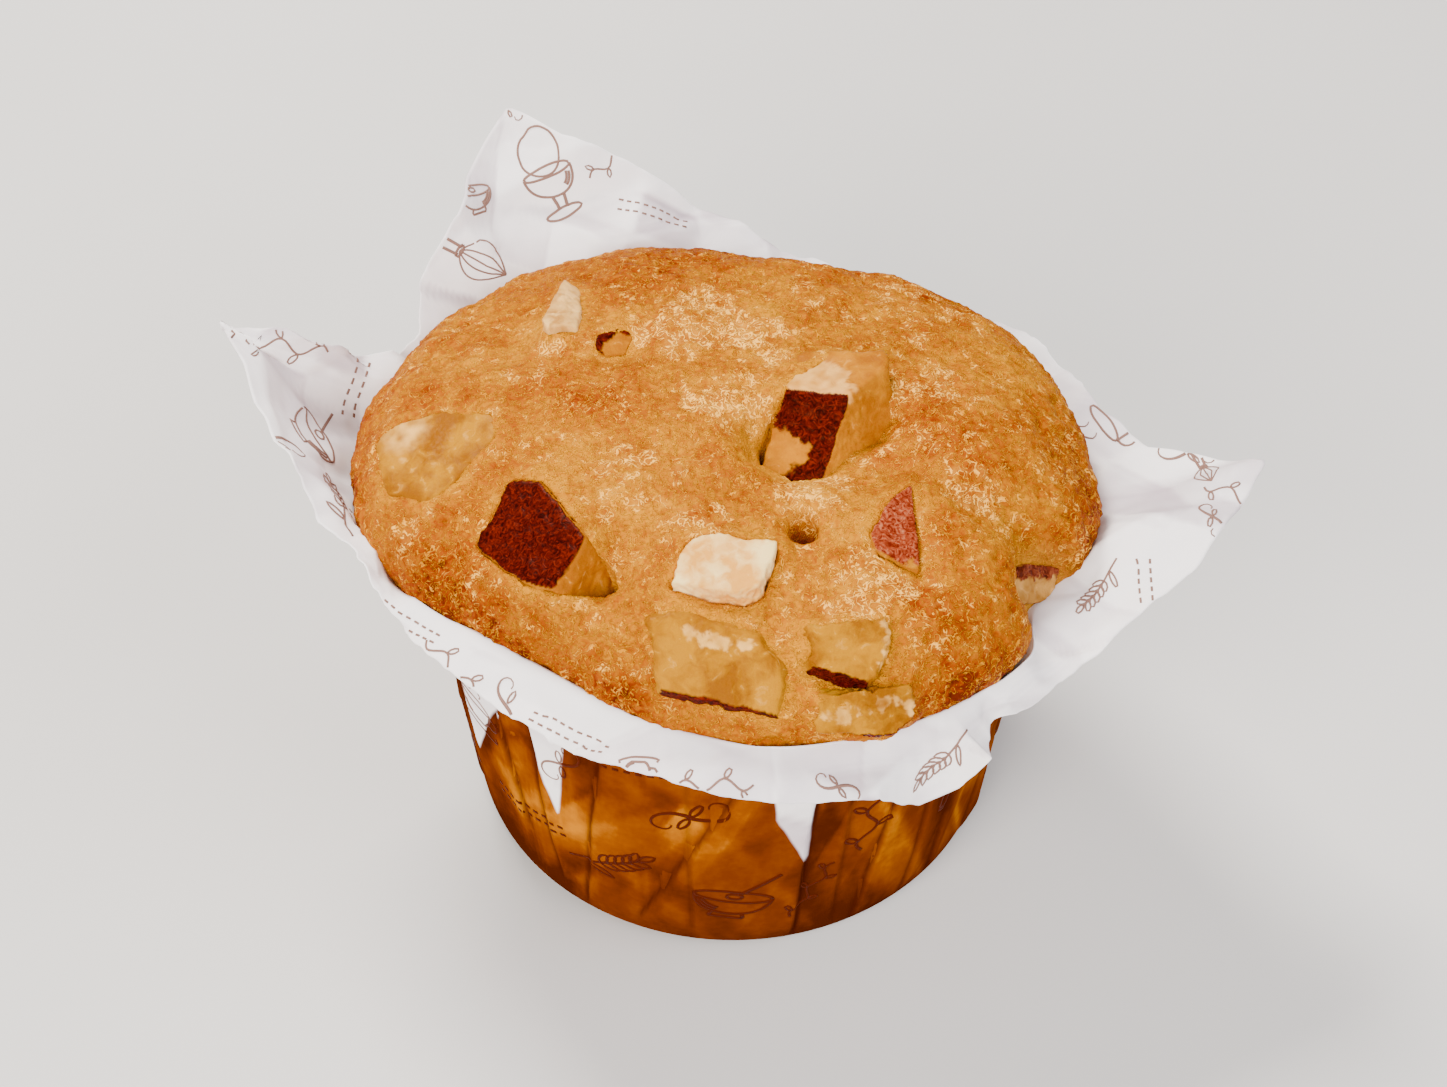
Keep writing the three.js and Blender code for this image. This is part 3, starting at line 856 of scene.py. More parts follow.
    def colours(self, smooth: Array, touching: Array, rest: int) -> dict[str, Array]:
        """Where the crust is browned, where its sugar and painted sheen lie, and where it is torn.

        Browning grows towards the lip and in blotches, and is least round the dice; one blotch is
        painted shade in the deep pit.

        Args:
            smooth: the smooth cap.
            touching: how near a dice each cap point lies.
            rest: how many points follow those of the cap.

        Returns:
            The layers bake, sugar and crumb.
        """
        noise = Noise(23)
        rim = 1 - smoothstep(smooth[..., 2], self.lip_height - 1, self.lip_height + 8.5)
        bake = 0.3 + 0.4 * rim + 0.2 * noise.layered(smooth, 13.0, 3)
        for x, y, reach, more in self.browned:
            bake += more * bell(np.hypot(smooth[..., 0] - x, smooth[..., 1] - y) / reach)
        bake -= 0.18 * touching
        patches = noise.layered(smooth + 40, 6.0, 3)
        # sugar and the places of painted sheen and glints
        sugar = 0.18 + 0.32 * patches
        for x, y, reach, more in self.sugared:
            near = bell(np.hypot(smooth[..., 0] - x, smooth[..., 1] - y) / reach)
            sugar += more * smoothstep(near + 0.3 * patches, 0.3, 0.7)
        split = around(np.radians(self.notch[0]), 35.0, self.lip_height - 2.0)
        torn = bell(np.linalg.norm(smooth - split, axis=-1) / 5.5)
        crumb = np.clip(1.3 * torn - 0.2, 0, 1)
        pad = np.zeros(rest)
        return {
            "bake": np.concatenate([np.clip(bake, 0, 1).ravel(), pad + 0.5]),
            "sugar": np.concatenate([np.clip(sugar, 0, 1).ravel(), pad]),
            "crumb": np.concatenate([crumb.ravel(), pad + 1]),
        }


# ------------------------------------------------------------------ diced sweet potato


class Peel(Enum):
    """Which sides of a dice still carry skin: a test on a side's own normal."""

    FACE = "the visible face"
    LOWER_SIDES = "the sides below the visible face"
    NONE = "no side that shows"

    def covers(self, normal: Array) -> bool:
        """Whether a side with this normal, in the face's axes, carries skin."""
        return {
            Peel.FACE: normal[2] > 0.7,
            Peel.LOWER_SIDES: normal[1] < -0.65 and normal[2] < 0.5,
            Peel.NONE: False,
        }[self]


@dataclass(frozen=True)
class Cut:
    """A flat knife cut: its outward normal and a point on it, in the face's axes."""

    normal: tuple[float, float, float]
    through: tuple[float, float, float]
    skin: bool = False


@dataclass(frozen=True)
class Spot:
    """A place on a dice, in the face's axes, how far it reaches and how soft it ends."""

    x: float
    y: float
    z: float
    reach: float
    soft: float = 0.25

    def near(self, points: Array, ragged: Array) -> Array:
        """1 within the reach and 0 outside, along a ragged border."""
        distance = np.linalg.norm(points - (self.x, self.y, self.z), axis=-1)
        return 1 - smoothstep(distance + ragged, self.reach - self.soft, self.reach + self.soft)


@dataclass
class Dice:
    """One dice of sweet potato, cut by flat planes, and the line where the crust meets it.

    Its frame has x to the right, y up the visible face and z out of it. The rim holds the
    corners where the crust meets the dice: x, y, and how far out of the face's plane.
    """

    name: str
    at: tuple
    azimuth: float
    tilt: float
    depth: float
    rim: tuple
    peel: Peel
    potato: SweetPotato
    cuts: tuple = ()
    sides: tuple = ()  # x and y of the prism's corners, where they differ from the rim
    whole: bool = True  # whether the rim or sides make a prism, besides the cuts
    # pale: cream spots, mostly painted highlights along top edges and ridges, some paler flesh
    pale: tuple = ()
    bare: tuple = ()
    spread: float = 1.6  # mm over which the crust leaves the rim's level
    groove: float = 0.03  # mm, the crease between crust and dice
    lap: float = 0.25  # mm by which the crust creeps over the edge
    raised: float = 0.0  # the face above its plane
    lean: float = 0.1  # how far the sides lean out, over their height
    sharpness: float = 34
    ragged: float = 1.0
    rows: int = 110
    columns: int = 210
    slot: Slot = Slot.FLESH
    seed: int = 1

    def axes(self) -> Array:
        """Right, upward and outward directions of the visible face, as rows."""
        lean, turn = np.radians(self.tilt), np.radians(self.azimuth)
        normal = np.array([np.sin(lean) * np.cos(turn), np.sin(lean) * np.sin(turn), np.cos(lean)])
        right = unit(np.array([1.0, 0, 0]) - normal * normal[0])
        return np.stack([right, np.cross(normal, right), normal])

    def planes(self) -> tuple[Array, Array, Array]:
        """All planes that bound the dice.

        A prism has its face, its back, and a side through each edge of the outline, which
        leans out as it goes down.

        Returns:
            Normals, points on the planes, and 1 where the plane carries skin.
        """
        normals = [cut.normal for cut in self.cuts]
        through = [cut.through for cut in self.cuts]
        skin = [float(cut.skin) for cut in self.cuts]
        if self.whole:
            corners = np.array(self.sides or [corner[:2] for corner in self.rim])
            for start, end in zip(corners, np.roll(corners, -1, axis=0)):
                out = unit(np.array([start[1] - end[1], end[0] - start[0], 0.0]))
                if np.cross(corners[1] - corners[0], corners[2] - corners[1]) > 0:
                    out = -out
                normals.append(tuple(out + (0, 0, self.lean)))
                through.append((*start, self.raised))
                skin.append(float(self.peel.covers(unit(out))))
            normals += [(0.0, 0.0, 1.0), (0.0, 0.0, -1.0)]
            through += [(0.0, 0.0, self.raised), (0.0, 0.0, -self.depth)]
            skin += [float(self.peel is Peel.FACE), 0.0]
        return unit(np.array(normals)), np.array(through), np.array(skin)

    def build(self) -> bpy.types.Object:
        """The dice as a ball of directions, each reaching to the planes.

        In each direction the radius is the power mean of the distances to the planes,
        (sum of (facing / distance)^p)^(-1/p), which rounds the edges more for a lower p.
        Wobbles on the distances make the sides uneven and the edges ragged.

        Returns:
            The object.
        """
        normals, through, skin = self.planes()
        corners = np.array(self.sides or [corner[:2] for corner in self.rim])
        centre = np.array([*corners.mean(0), -self.depth * 0.45])
        noise = Noise(100 + self.seed)
        pole = np.linspace(0, np.pi, self.rows + 2)[1:-1, None]
        turn = np.linspace(0, TURN, self.columns, endpoint=False)[None]
        ring = around(turn, np.sin(pole), np.cos(pole))
        ways = np.concatenate([ring.reshape(-1, 3), [[0, 0, 1.0], [0, 0, -1.0]]])
        total, peeled = np.zeros(len(ways)), np.zeros(len(ways))
        for i, (normal, place) in enumerate(zip(normals, through)):
            distance = max(float(normal @ (place - centre)), 0.3)
            steep = 1 - 0.85 * max(float(normal[2]), 0) ** 2
            wobble = 1 + self.ragged * steep * (0.04 * noise.at(ways * 3 + 5 * i, 1.0)
                                                + 0.025 * noise.at(ways * 9 + 5 * i, 1.0))
            share = (np.maximum(ways @ normal, 0) / (distance * wobble)) ** self.sharpness
            total += share
            peeled += share * skin[i]
        radius = total ** (-1 / self.sharpness)
        local = centre + ways * radius[:, None]
        ragged = 0.45 * noise.layered(local + 30, 1.1, 4)
        cover = smoothstep(peeled / total + 0.25 * ragged, 0.42, 0.58)
        for spot in self.bare:
            cover = cover * (1 - spot.near(local, 1.5 * ragged))
        # painted highlights along top edges and ridges, and paler flesh
        pale = np.zeros(len(local))
        for spot in self.pale:
            pale = np.maximum(pale, spot.near(local, 1.5 * ragged))
        bumps = 0.16 * noise.at(local + 9, 3.0) + 0.07 * noise.at(local, 1.0)
        bumps += 0.03 * noise.at(local + 3, 0.45) + 0.12 * cover
        local = local + bumps[:, None] * unit(local - centre)
        points = np.array(self.at) + local @ self.axes()

        count = self.rows * self.columns
        first = np.arange(self.columns)
        last = first + count - self.columns
        ends = np.concatenate([fan(count, first), fan(count + 1, last)[:, [0, 2, 1]]])
        quads = grid_quads(self.rows, self.columns, closed=True)[:, ::-1]
        surface = Surface(points, quads, ends)
        mottled = np.clip(0.75 + 0.6 * noise.layered(local + 70, 1.4, 2), 0, 1)
        surface.layers = {"skin": cover, "cream": np.clip(pale * mottled, 0, 1)}
        thing = surface.to_object(self.name + "_dice", self.potato.build())
        face_outwards(thing)
        return thing


def face_outwards(thing: bpy.types.Object) -> None:
    """Turns a closed mesh's faces outwards: a negative volume means all are reversed."""
    mesh = thing.data
    mesh.calc_loop_triangles()
    corners = np.empty(len(mesh.loop_triangles) * 3, int)
    mesh.loop_triangles.foreach_get("vertices", corners)
    points = np.empty(len(mesh.vertices) * 3)
    mesh.vertices.foreach_get("co", points)
    a, b, c = np.moveaxis(points.reshape(-1, 3)[corners.reshape(-1, 3)], 1, 0)
    if np.sum(a * np.cross(b, c)) < 0:
        mesh.flip_normals()


def all_dice() -> list[Dice]:
    """Every dice that shows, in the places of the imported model's nodes."""
    yellow = SweetPotato("sweet potato, yellow flesh", "#B67200", "#965400", "#DCA050")
    amber = SweetPotato("sweet potato, amber flesh", "#AE7400", "#844C00", "#E4AC58")
    pale = SweetPotato("sweet potato, pale flesh", "#FCD88C", "#DE9A40")
    crumb = SweetPotato("sweet potato, crumbled flesh", "#DAA85E", "#AC7430")
    split = SweetPotato(
        "sweet potato, flesh in the split", "#C08C44", "#946020", "#D8A868",
        skin="#64200C", skin_dark="#3C0E04", skin_ridges="#94502C",
    )
    rosy = SweetPotato(
        "sweet potato, rosy skin", skin="#86361A", skin_dark="#5C1408", skin_ridges="#B4704E",
    )
    return [
        Dice("sweet_potato_1", (-20.6, -16.3, 53.4), 208, 29, 10, (
            (-2.2, 6.4, 0), (1.3, 5.4, 0), (6.9, -2.6, -0.3), (7.6, -3.6, -2.2), (8, -4.7, -3.8),
            (7.9, -6, -4.6), (6.7, -7, -3.9), (5.7, -7.3, -2.4), (3.9, -7.6, -0.4),
            (-0.3, -5.8, 0.1), (-5.9, -0.5, 0.2), (-3.4, 3.8, 0.1),
        ), Peel.FACE, yellow, cuts=(Cut((0.766, -0.496, 0.409), (6.9, -2.6, 0.2)),), sides=(
            (-2.2, 6.4), (1.3, 5.4), (6.9, -2.6), (3.9, -7.6), (-0.3, -5.8), (-5.9, -0.5),
        ), raised=0.25, groove=0.15, lap=0.0, slot=Slot.SKIN, seed=1),
        Dice("sweet_potato_2", (9, -4, 56.5), 300, 8, 9, (
            (-3.9, 3.4, 0.5), (-1.2, 6.5, 0.4), (0.8, 8.4, 0.4), (2.8, 7.4, 0.8), (4.3, 4.2, 1.3),
            (6.9, 3.8, -0.7), (7.3, 2.4, -2.4), (6, 0.6, -3.2), (3.4, -1.2, -2.8),
            (2.2, -2.6, -2.7), (0.6, -4.4, -2.9), (-0.9, -4.9, -3), (-2.8, -4.9, -3.4),
            (-6.2, -3.1, -3.2), (-6.6, -1.1, -2.6), (-5.9, 0.5, -1.5), (-4.8, 2.3, -0.3),
        ), Peel.FACE, yellow, cuts=(
            Cut((-0.32, -0.463, 0.826), (2.7, 2.2, 2.1), True),
            Cut((-0.184, 0.205, 0.961), (2.7, 2.2, 2.1)),
            Cut((0.58, -0.583, 0.569), (2.7, 2.2, 2.1)),
            Cut((-0.956, 0.274, 0.067), (-3.9, 3.4, 0.5)),
            Cut((0.067, -0.314, -0.947), (0, 0, -8)),
            Cut((0.125, 0.957, -0.26), (1.7, 9.6, 0.4)),
            Cut((0.981, 0.133, 0.057), (7.8, 2.6, -2)),
        ), whole=False, spread=2.0, groove=0.1, lap=0.0, pale=(
            Spot(-0.6, 4.6, 0.8, 3.2), Spot(1.6, 2.8, 1.8, 1.6),
        ), bare=(
            Spot(-5.6, -1.8, -3, 3.2), Spot(-2.6, -2.6, -1.8, 1.3),
        ), slot=Slot.SKIN, seed=2),
        Dice("sweet_potato_3", (-30.2, -4.1, 52.6), 200, 20, 7, (
            (-8, 2.4, 0.1), (-6.7, 4.6, 0.1), (0.3, 5.5, 0.2), (5.7, 3.7, 0.3), (6.5, 0.1, 0.3),
            (2.4, -4.5, 0.1), (-0.6, -6.5, 0), (-5.7, -4.8, 0),
        ), Peel.NONE, amber, raised=0.15, sharpness=20, lap=0.45, pale=(
            Spot(-4.2, 3.2, 0, 1.9, 1.7),
        ), seed=3),
        Dice("sweet_potato_4", (-0.2, -22.6, 55.3), 262, 14, 8, (
            (-4.4, 2.8, 0), (-1.5, 3.4, 0), (4.6, 2.3, -0.4), (3.9, -0.3, -1),
            (3.1, -2.7, -1.3), (1.3, -3.7, -1.5), (-2.2, -3.3, -1.4), (-6, -1.9, -0.8),
        ), Peel.NONE, pale, sides=(
            (-4.4, 2.8), (-1.5, 3.4), (4.6, 2.3), (3.6, -0.3), (2.9, -2.4), (1.1, -3.2),
            (-2.2, -2.8), (-5.9, -1.9),
        ), raised=0.35, groove=0.12, lap=-0.1, sharpness=44, ragged=1.8, spread=1.2, seed=4),
        Dice("sweet_potato_5", (16, -18.2, 54.9), 305, 18, 8, (
            (1.7, 5.8, 0), (2.3, -4.5, -0.4), (0.6, -3.5, -0.1), (-2, -2.6, 0), (-2.7, -0.3, 0),
            (-0.3, 4.2, 0),
        ), Peel.FACE, rosy, raised=0.25, lap=0.1, bare=(
            Spot(1.8, -4.6, 0, 1.3),
        ), slot=Slot.SKIN, seed=5),
        Dice("sweet_potato_6", (-1.8, -31.5, 51.2), 262, 34, 6, (
            (-5.2, 3.6, 0.4), (-3.7, 4.4, 0.1), (0.5, 3.6, -0.3), (3.9, 2.2, -0.3), (6, -0.4, -0.5),
            (6.1, -3, -0.6), (5.6, -4.6, -0.9), (0.6, -4, -1.3), (-4.4, -2.3, -0.8), (-5, 0.2, 0.3),
        ), Peel.LOWER_SIDES, amber, cuts=(
            Cut((0.08, 0.34, 0.94), (0, 1.9, 0.75)), Cut((-0.02, -0.2, 0.98), (0, 1.9, 0.75)),
        ), sides=(
            (-6.2, 4), (-3.7, 4.6), (3.9, 2.2), (6, -0.4), (6, -3), (5.4, -4.3), (-4.9, -2.2),
        ), raised=1.2, lean=0.34, lap=0.45, spread=1.3, pale=(
            Spot(-2.8, 2.7, 0.4, 0.55), Spot(-2.1, 2.6, 0.5, 0.6), Spot(-1.4, 2.3, 0.6, 0.6),
            Spot(-0.6, 2.2, 0.6, 0.55), Spot(0.2, 2.0, 0.7, 0.55), Spot(1, 1.9, 0.7, 0.5),
            Spot(2.8, 1.5, 0.6, 0.4),
        ), seed=6),
        Dice("sweet_potato_7", (11.8, -30.7, 51.7), 283, 32, 6, (
            (-4.8, 2.3, 0.3), (-1, 3, 0.2), (2.8, 3.3, -0.2), (3.5, 1.3, -0.7), (2.9, -0.8, -0.9),
            (1.5, -3.2, -1.3), (-1.1, -2.9, -1.5), (-4.5, -1.7, -1.1), (-5, 0, 0.1),
        ), Peel.LOWER_SIDES, amber, sides=(
            (-4.8, 2.3), (2.6, 3.2), (3.2, 1.3), (2.6, -0.6), (0.9, -3), (-1.1, -2.5), (-4.3, -1.5),
        ), raised=0.55, lean=0.34, lap=0.4, spread=1.3, ragged=1.8, pale=(
            Spot(3, 2.8, 0.4, 0.5), Spot(3.3, 2.1, 0.4, 0.5), Spot(3.4, 1.4, 0.4, 0.5),
            Spot(3.2, 0.6, 0.4, 0.5), Spot(2.9, -0.2, 0.4, 0.5), Spot(2.4, -1, 0.4, 0.4),
        ), seed=7),
        Dice("sweet_potato_8", (12.8, -34.8, 47.5), 285, 50, 5, (
            (-4.8, 1.4, 0.3), (-1.4, 1, 0.7), (0.8, 1.6, 0.5), (3.9, 2.3, 0.1), (5, -0.6, -0.5),
            (2.7, -2.3, -0.8), (-0.6, -2.2, -1), (-4.6, -1.9, -0.9),
        ), Peel.LOWER_SIDES, amber, cuts=(
            Cut((0.12, -0.1, 0.98), (-0.6, 0, 0.75)), Cut((-0.15, -0.1, 0.97), (-0.6, 0, 0.75)),
        ), sides=(
            (-4.8, 1.8), (3.9, 2.6), (4.9, -0.6), (2.6, -2.1), (-4.5, -1.8),
        ), raised=0.9, ragged=2.6, lap=0.3, spread=1.3, pale=(
            Spot(-4.3, 0, 0.6, 0.5), Spot(-3.5, -0.2, 0.7, 0.5), Spot(-2.7, -0.2, 0.7, 0.55),
            Spot(-1.9, 0, 0.7, 0.5), Spot(-1.2, 0.3, 0.7, 0.4), Spot(0.4, 0.2, 0.6, 0.35),
            Spot(1.2, 0.6, 0.6, 0.4), Spot(2, 0.9, 0.6, 0.4), Spot(2.9, 1.3, 0.5, 0.4),
            Spot(4.6, -0.2, 0.2, 0.45), Spot(4.4, 0.6, 0.3, 0.45),
        ), bare=(Spot(-4, -2, -0.3, 2.6),), seed=8),
        Dice("sweet_potato_9", (-18.2, 14.8, 55.4), 120, 12, 7, (
            (-0.9, 1.6, -0.2), (0, 5.4, -0.1), (1.3, 4.4, -0.2), (1.9, -1.2, -0.4),
            (1.7, -4.9, 0), (-1.4, -5.2, 0), (-2, -3.1, -0.4),
        ), Peel.NONE, crumb, cuts=(
            Cut((0.5, 0.1, 0.86), (0.3, 0, 0.9)),
        ), raised=0.9, ragged=1.8, pale=(
            Spot(-1.6, -4.6, 0.7, 0.6), Spot(-1.2, -3.6, 0.8, 0.5), Spot(-0.9, -2.6, 0.8, 0.5),
            Spot(0.3, 0.6, 0.8, 0.6), Spot(0.6, 2, 0.8, 0.6), Spot(0.5, 3.4, 0.8, 0.7),
            Spot(1.5, -1.4, 0.4, 0.5), Spot(1.6, -2.8, 0.4, 0.5),
        ), seed=9),
        Dice("sweet_potato_10", (-12.6, 8.4, 55.6), 300, 20, 6, (
            (-1.8, 1.2, 0.1), (0.8, 2.4, 0.1), (2, 1.5, -0.2), (1.2, -0.8, -0.3),
            (-0.9, -1.2, -0.3), (-2, -0.4, 0),
        ), Peel.FACE, yellow, raised=-0.1, lap=0.3, bare=(
            Spot(0.9, -0.5, -0.2, 1.9, 0.15),
        ), seed=10),
        Dice("sweet_potato_11", (30.4, -15.8, 44.4), 325, 60, 7, (
            (-4.5, 0.2, 0), (-3.8, 1.6, 0), (-2, 2.4, 0), (1.9, 2.4, 0), (4.4, 1.8, 0),
            (3.8, -0.4, -0.4), (1.6, -1.6, -0.5), (-2.6, -1.6, -0.5),
        ), Peel.FACE, split, raised=0.3, ragged=1.6, lap=0.25, bare=(
            Spot(-4.2, -1, 0.2, 1.5), Spot(-2.6, -1, 0.2, 1.9), Spot(-0.6, -1, 0.2, 2.1),
            Spot(1.4, -1, 0.2, 2.1), Spot(3.4, -0.9, 0.2, 1.8),
        ), slot=Slot.SKIN, seed=11),
    ]


# ------------------------------------------------------------------ the paper case


@dataclass(frozen=True)
class Fold:
    """A fold line of the wall, from a top place to a bottom place, both azimuth in
    degrees and height, where the paper steps up and then settles again."""

    top: tuple[float, float]
    bottom: tuple[float, float]
    step: float
    settle: float = 6.0  # mm to one side over which the step is lost, below 0 to the left

    def across(self, azimuth: Array, z: Array, radius: float) -> Array:
        """Distance from the fold line along the wall, above 0 to its right."""
        share = (z - self.bottom[1]) / (self.top[1] - self.bottom[1])
        line = np.radians(mix(self.bottom[0], self.top[0], share))
        return angle_between(line, azimuth) * radius

    def presence(self, z: Array) -> Array:
        """1 along the fold line, fading out past its ends."""
        above = smoothstep(z, self.bottom[1] - 2.5, self.bottom[1] + 1.5)
        return above * (1 - smoothstep(z, self.top[1] + 1, self.top[1] + 5))


@dataclass
class TulipCase:
    """The case: one sheet pressed into a cup, with uneven folds round the wall and four
    petals above it."""

    cake: Cake
    thickness: float = 0.14
    standing_off: float = 0.5  # from the cake to the middle of the sheet
    least_gap: float = 0.2
    columns: int = 580
    foot_rounding: float = 2.0
    foot_rows: int = 6
    corner_rows: int = 5
    wall_rows: int = 32
    loose_rows: int = 54
    hidden_step: int = 6  # of the rows that the cake hides, one in so many is kept
    leaving_height: float = 38.5
    leaving_slope: float = 0.42
    lip_clearance: float = 0.3
    turnover: tuple = (  # azimuth, 1 where the paper is folded out over the lip, its height
        (190, 0, 43.2), (200, 0.6, 43.6), (206, 1, 44.4), (290, 1, 44.3), (302, 1, 43.4),
        (320, 1, 43.4), (329, 0.5, 43.2), (336, 0, 43),
    )
    turnover_share: float = 0.45  # of the loose rows that lie below that fold
    random_folds: int = 30
    crumple_seed: int = 71
    facets: tuple = ((2.8, 13.0, 0), (1.5, 6.5, 40), (0.35, 3.0, 90))  # height, cell, shift
    pressed: tuple = (1, 1, 0.4)  # facets of the wall are that much narrower than high
    # painted_shade_step: mm, the step along which the facets' painted light and shade is taken,
    # standing for the light's direction
    painted_shade_step: tuple = (0.53, 0.37, 0.25)  # mm, the way along which a facet's slope is seen
    # wall_facet_shade: the wall's painted facet light and shade, by weight of rise, weight of bend,
    # cell and shift, see shading
    wall_facet_shade: tuple = ((0.6, -1.4, 4.5, 120), (0.9, -2.2, 9.0, 60))  # see shading
    # petal_facet_shade: the petals' painted facet shade, the same columns as wall_facet_shade
    petal_facet_shade: tuple = ((1.4, -3.0, 6.5, 40), (2.8, -6.0, 13.0, 0))
    edge: tuple = (
        (2, 3, 49.5, 46), (7, 6, 44.8, 44), (14, 15, 42.1, 43), (25, 25, 41.2, 42),
        (35, 33, 40.8, 41.5), (52, 50, 39.8, 41), (68, 68, 38.8, 41), (82, 82, 39.2, 42),
        (88, 88.5, 41.5, 45.5), (95, 95, 42.3, 47), (103, 104, 45.2, 51), (112, 113, 49.3, 54.5),
        (119, 118, 55.6, 56), (129, 132, 46.5, 52), (137, 141, 44.7, 48), (142, 146, 42.3, 44),
        (149, 152, 42.3, 44), (154, 159, 44.4, 48), (157, 161, 46.5, 50), (161, 164, 52.3, 54),
        (166, 166.5, 57.6, 54), (172, 176, 51.3, 51), (181, 187, 45.5, 49), (190, 195, 42, 46),
        (201, 205, 39.8, 44.6), (212, 215, 39.3, 43.8), (225, 225, 38.3, 43),
        (237, 237, 38.2, 43.6), (250, 250, 38.9, 43.2), (259, 259, 39.5, 42.5),
        (270, 270, 41.1, 42), (288, 290, 42.6, 41), (297, 299, 43.2, 36.5), (303, 305, 43.9, 42),
        (310, 310, 40.8, 42), (317, 316, 41.9, 42), (326, 325, 42.2, 43), (335, 334, 44.5, 44),
        (345, 344, 49.9, 45), (353, 354, 53.8, 46), (358, 359, 56, 48),
    )
    folds: tuple = (
        Fold((245, 32), (237.4, 2.5), 0.5, 7), Fold((271.1, 32), (251, 5), 0.45, 8),
        Fold((285.3, 32), (282.2, 1), 0.7, -9), Fold((305, 30), (296, 1), 0.5, 6),
        Fold((229, 36), (231, 6), 0.5, 5), Fold((217, 34), (224, 12), 0.5, -5),
        Fold((262, 30), (262, 4), 0.25, 5), Fold((315, 32), (309, 2), 0.4, 4),
        Fold((322, 32), (317, 2), 0.4, 4), Fold((293, 30), (291, 3), 0.25, -4),
    )
    dry_wedges: tuple = (
        ((205, 36), (227, 37), (219, 30), (208, 17), (204, 24)),
        ((227, 38), (238, 36), (233.5, 18.6), (230, 27)),
        ((277, 34), (285.3, 34), (284.5, 17), (281, 22), (278, 27)),
    )
    # painted_light_panels: painted light on panels of the wall, painted shade where below 0
    painted_light_panels: tuple = (  # azimuth, its reach, height, how much lighter
        (234, 9, 22, 0.38), (254, 11, 25, -0.1), (302, 8, 20, 0.16), (221, 7, 14, 0.28),
    )

    def outline(self, wall: Array) -> tuple[Array, Array, Array]:
        """Where the crease that leaves the wall at each azimuth ends at the cut edge:
        straight lines between the named corners.

        Args:
            wall: azimuths on the wall, in radians.

        Returns:
            The azimuth, radius and height at the edge.
        """
        keys = np.array(self.edge, float)
        around_twice = np.concatenate([keys - (360, 360, 0, 0), keys, keys + (360, 360, 0, 0)])
        degrees = np.degrees(wall)
        columns = [np.interp(degrees, around_twice[:, 0], around_twice[:, i]) for i in (1, 2, 3)]
        torn = 0.25 * Noise(77).layered(around(wall, 38.0, 0.0), 2.0, 2)
        return np.radians(columns[0]), columns[1] + torn, columns[2]

    def turnover_at(self, wall: Array) -> tuple[Array, Array]:
        """Where the paper is folded out over the lip: 0 to 1, and the fold's height."""
        keys = np.array(self.turnover, float)
        turned, height = (np.interp(np.degrees(wall), keys[:, 0], keys[:, i]) for i in (1, 2))
        return turned, height

    def all_folds(self) -> list[Fold]:
        """The named folds at the front, and seeded ones round the rest of the wall."""
        random = np.random.default_rng(5)
        folds = list(self.folds)
        for i in range(self.random_folds):
            degrees = 328 + (212 - 328 + 360) * (i + 0.6 * random.random()) / self.random_folds
            lean = random.uniform(-7, 7)
            side = random.choice([-1, 1])
            folds.append(Fold(
                (degrees, random.uniform(28, 36)), (degrees + lean, random.uniform(1, 5)),
                random.uniform(0.25, 0.6), side * random.uniform(3, 8),
            ))
        return folds

    def fold_relief(self, azimuth: Array, z: Array) -> tuple[Array, Array]:
        """How far the folds stand out, and where the dark lines of painted crease shade lie.

        Each is a step at its line that settles as exp(-distance / settle).

        Returns:
            Heights in millimetres, and 0 to 1 on the lines of painted crease shade.
        """
        height, line = np.zeros(np.broadcast(azimuth, z).shape), 0.0
        for fold in self.all_folds():
            side = np.sign(fold.settle)
            across = side * fold.across(azimuth, z, self.cake.neck_radius)
            presence = fold.presence(z)
            decay = np.exp(-np.maximum(across, 0) / abs(fold.settle))
            height = height + fold.step * presence * smoothstep(across, -0.25, 0.25) * decay
            # painted crease shade just before the step, darker for a higher step
            strength = np.clip(fold.step / 0.6, 0.3, 1)
            line = np.maximum(line, strength * presence * bell((across + 0.3) / 0.4))
        return height * smoothstep(z, 0.5, 5), line

    def wall_radius(self, azimuth: Array, z: Array) -> Array:
        """Radius of the sheet where it lies on the cake, without its folds."""
        return self.cake.swollen_radius(azimuth, z) + self.standing_off

    def sheet(self) -> tuple[Array, Array, Array]:
        """The middle of the sheet, from the centre of the foot to the cut edge.

        The foot is flat, the corner a quarter circle, the wall follows the cake, and from
        the leaving height a quadratic Bezier curve runs out to the edge.

        Returns:
            Points, rows by columns by 3; how loose each is, 0 on the wall to 1 at the
            edge; and the wall's azimuth of each column.
        """
        wall = np.arange(self.columns) / self.columns * TURN
        floor = self.thickness / 2
        foot_radius = self.cake.foot_radius - self.foot_rounding
        steps = np.linspace(foot_radius / self.foot_rows, foot_radius - 0.3, self.foot_rows)
        rows = [around(wall, radius, floor) for radius in steps]
        for turn in np.linspace(0.2, 1, self.corner_rows):
            corner = np.pi / 2 * turn
            z = floor + self.foot_rounding * (1 - np.cos(corner))
            inset = self.foot_rounding * (1 - np.sin(corner))
            rows.append(around(wall, self.wall_radius(wall, z) - inset, z))
        start_z = floor + self.foot_rounding
        for z in np.linspace(start_z, self.leaving_height, self.wall_rows + 1)[1:]:
            out, _ = self.fold_relief(wall, z)
            rows.append(around(wall, self.wall_radius(wall, z) + out, z))

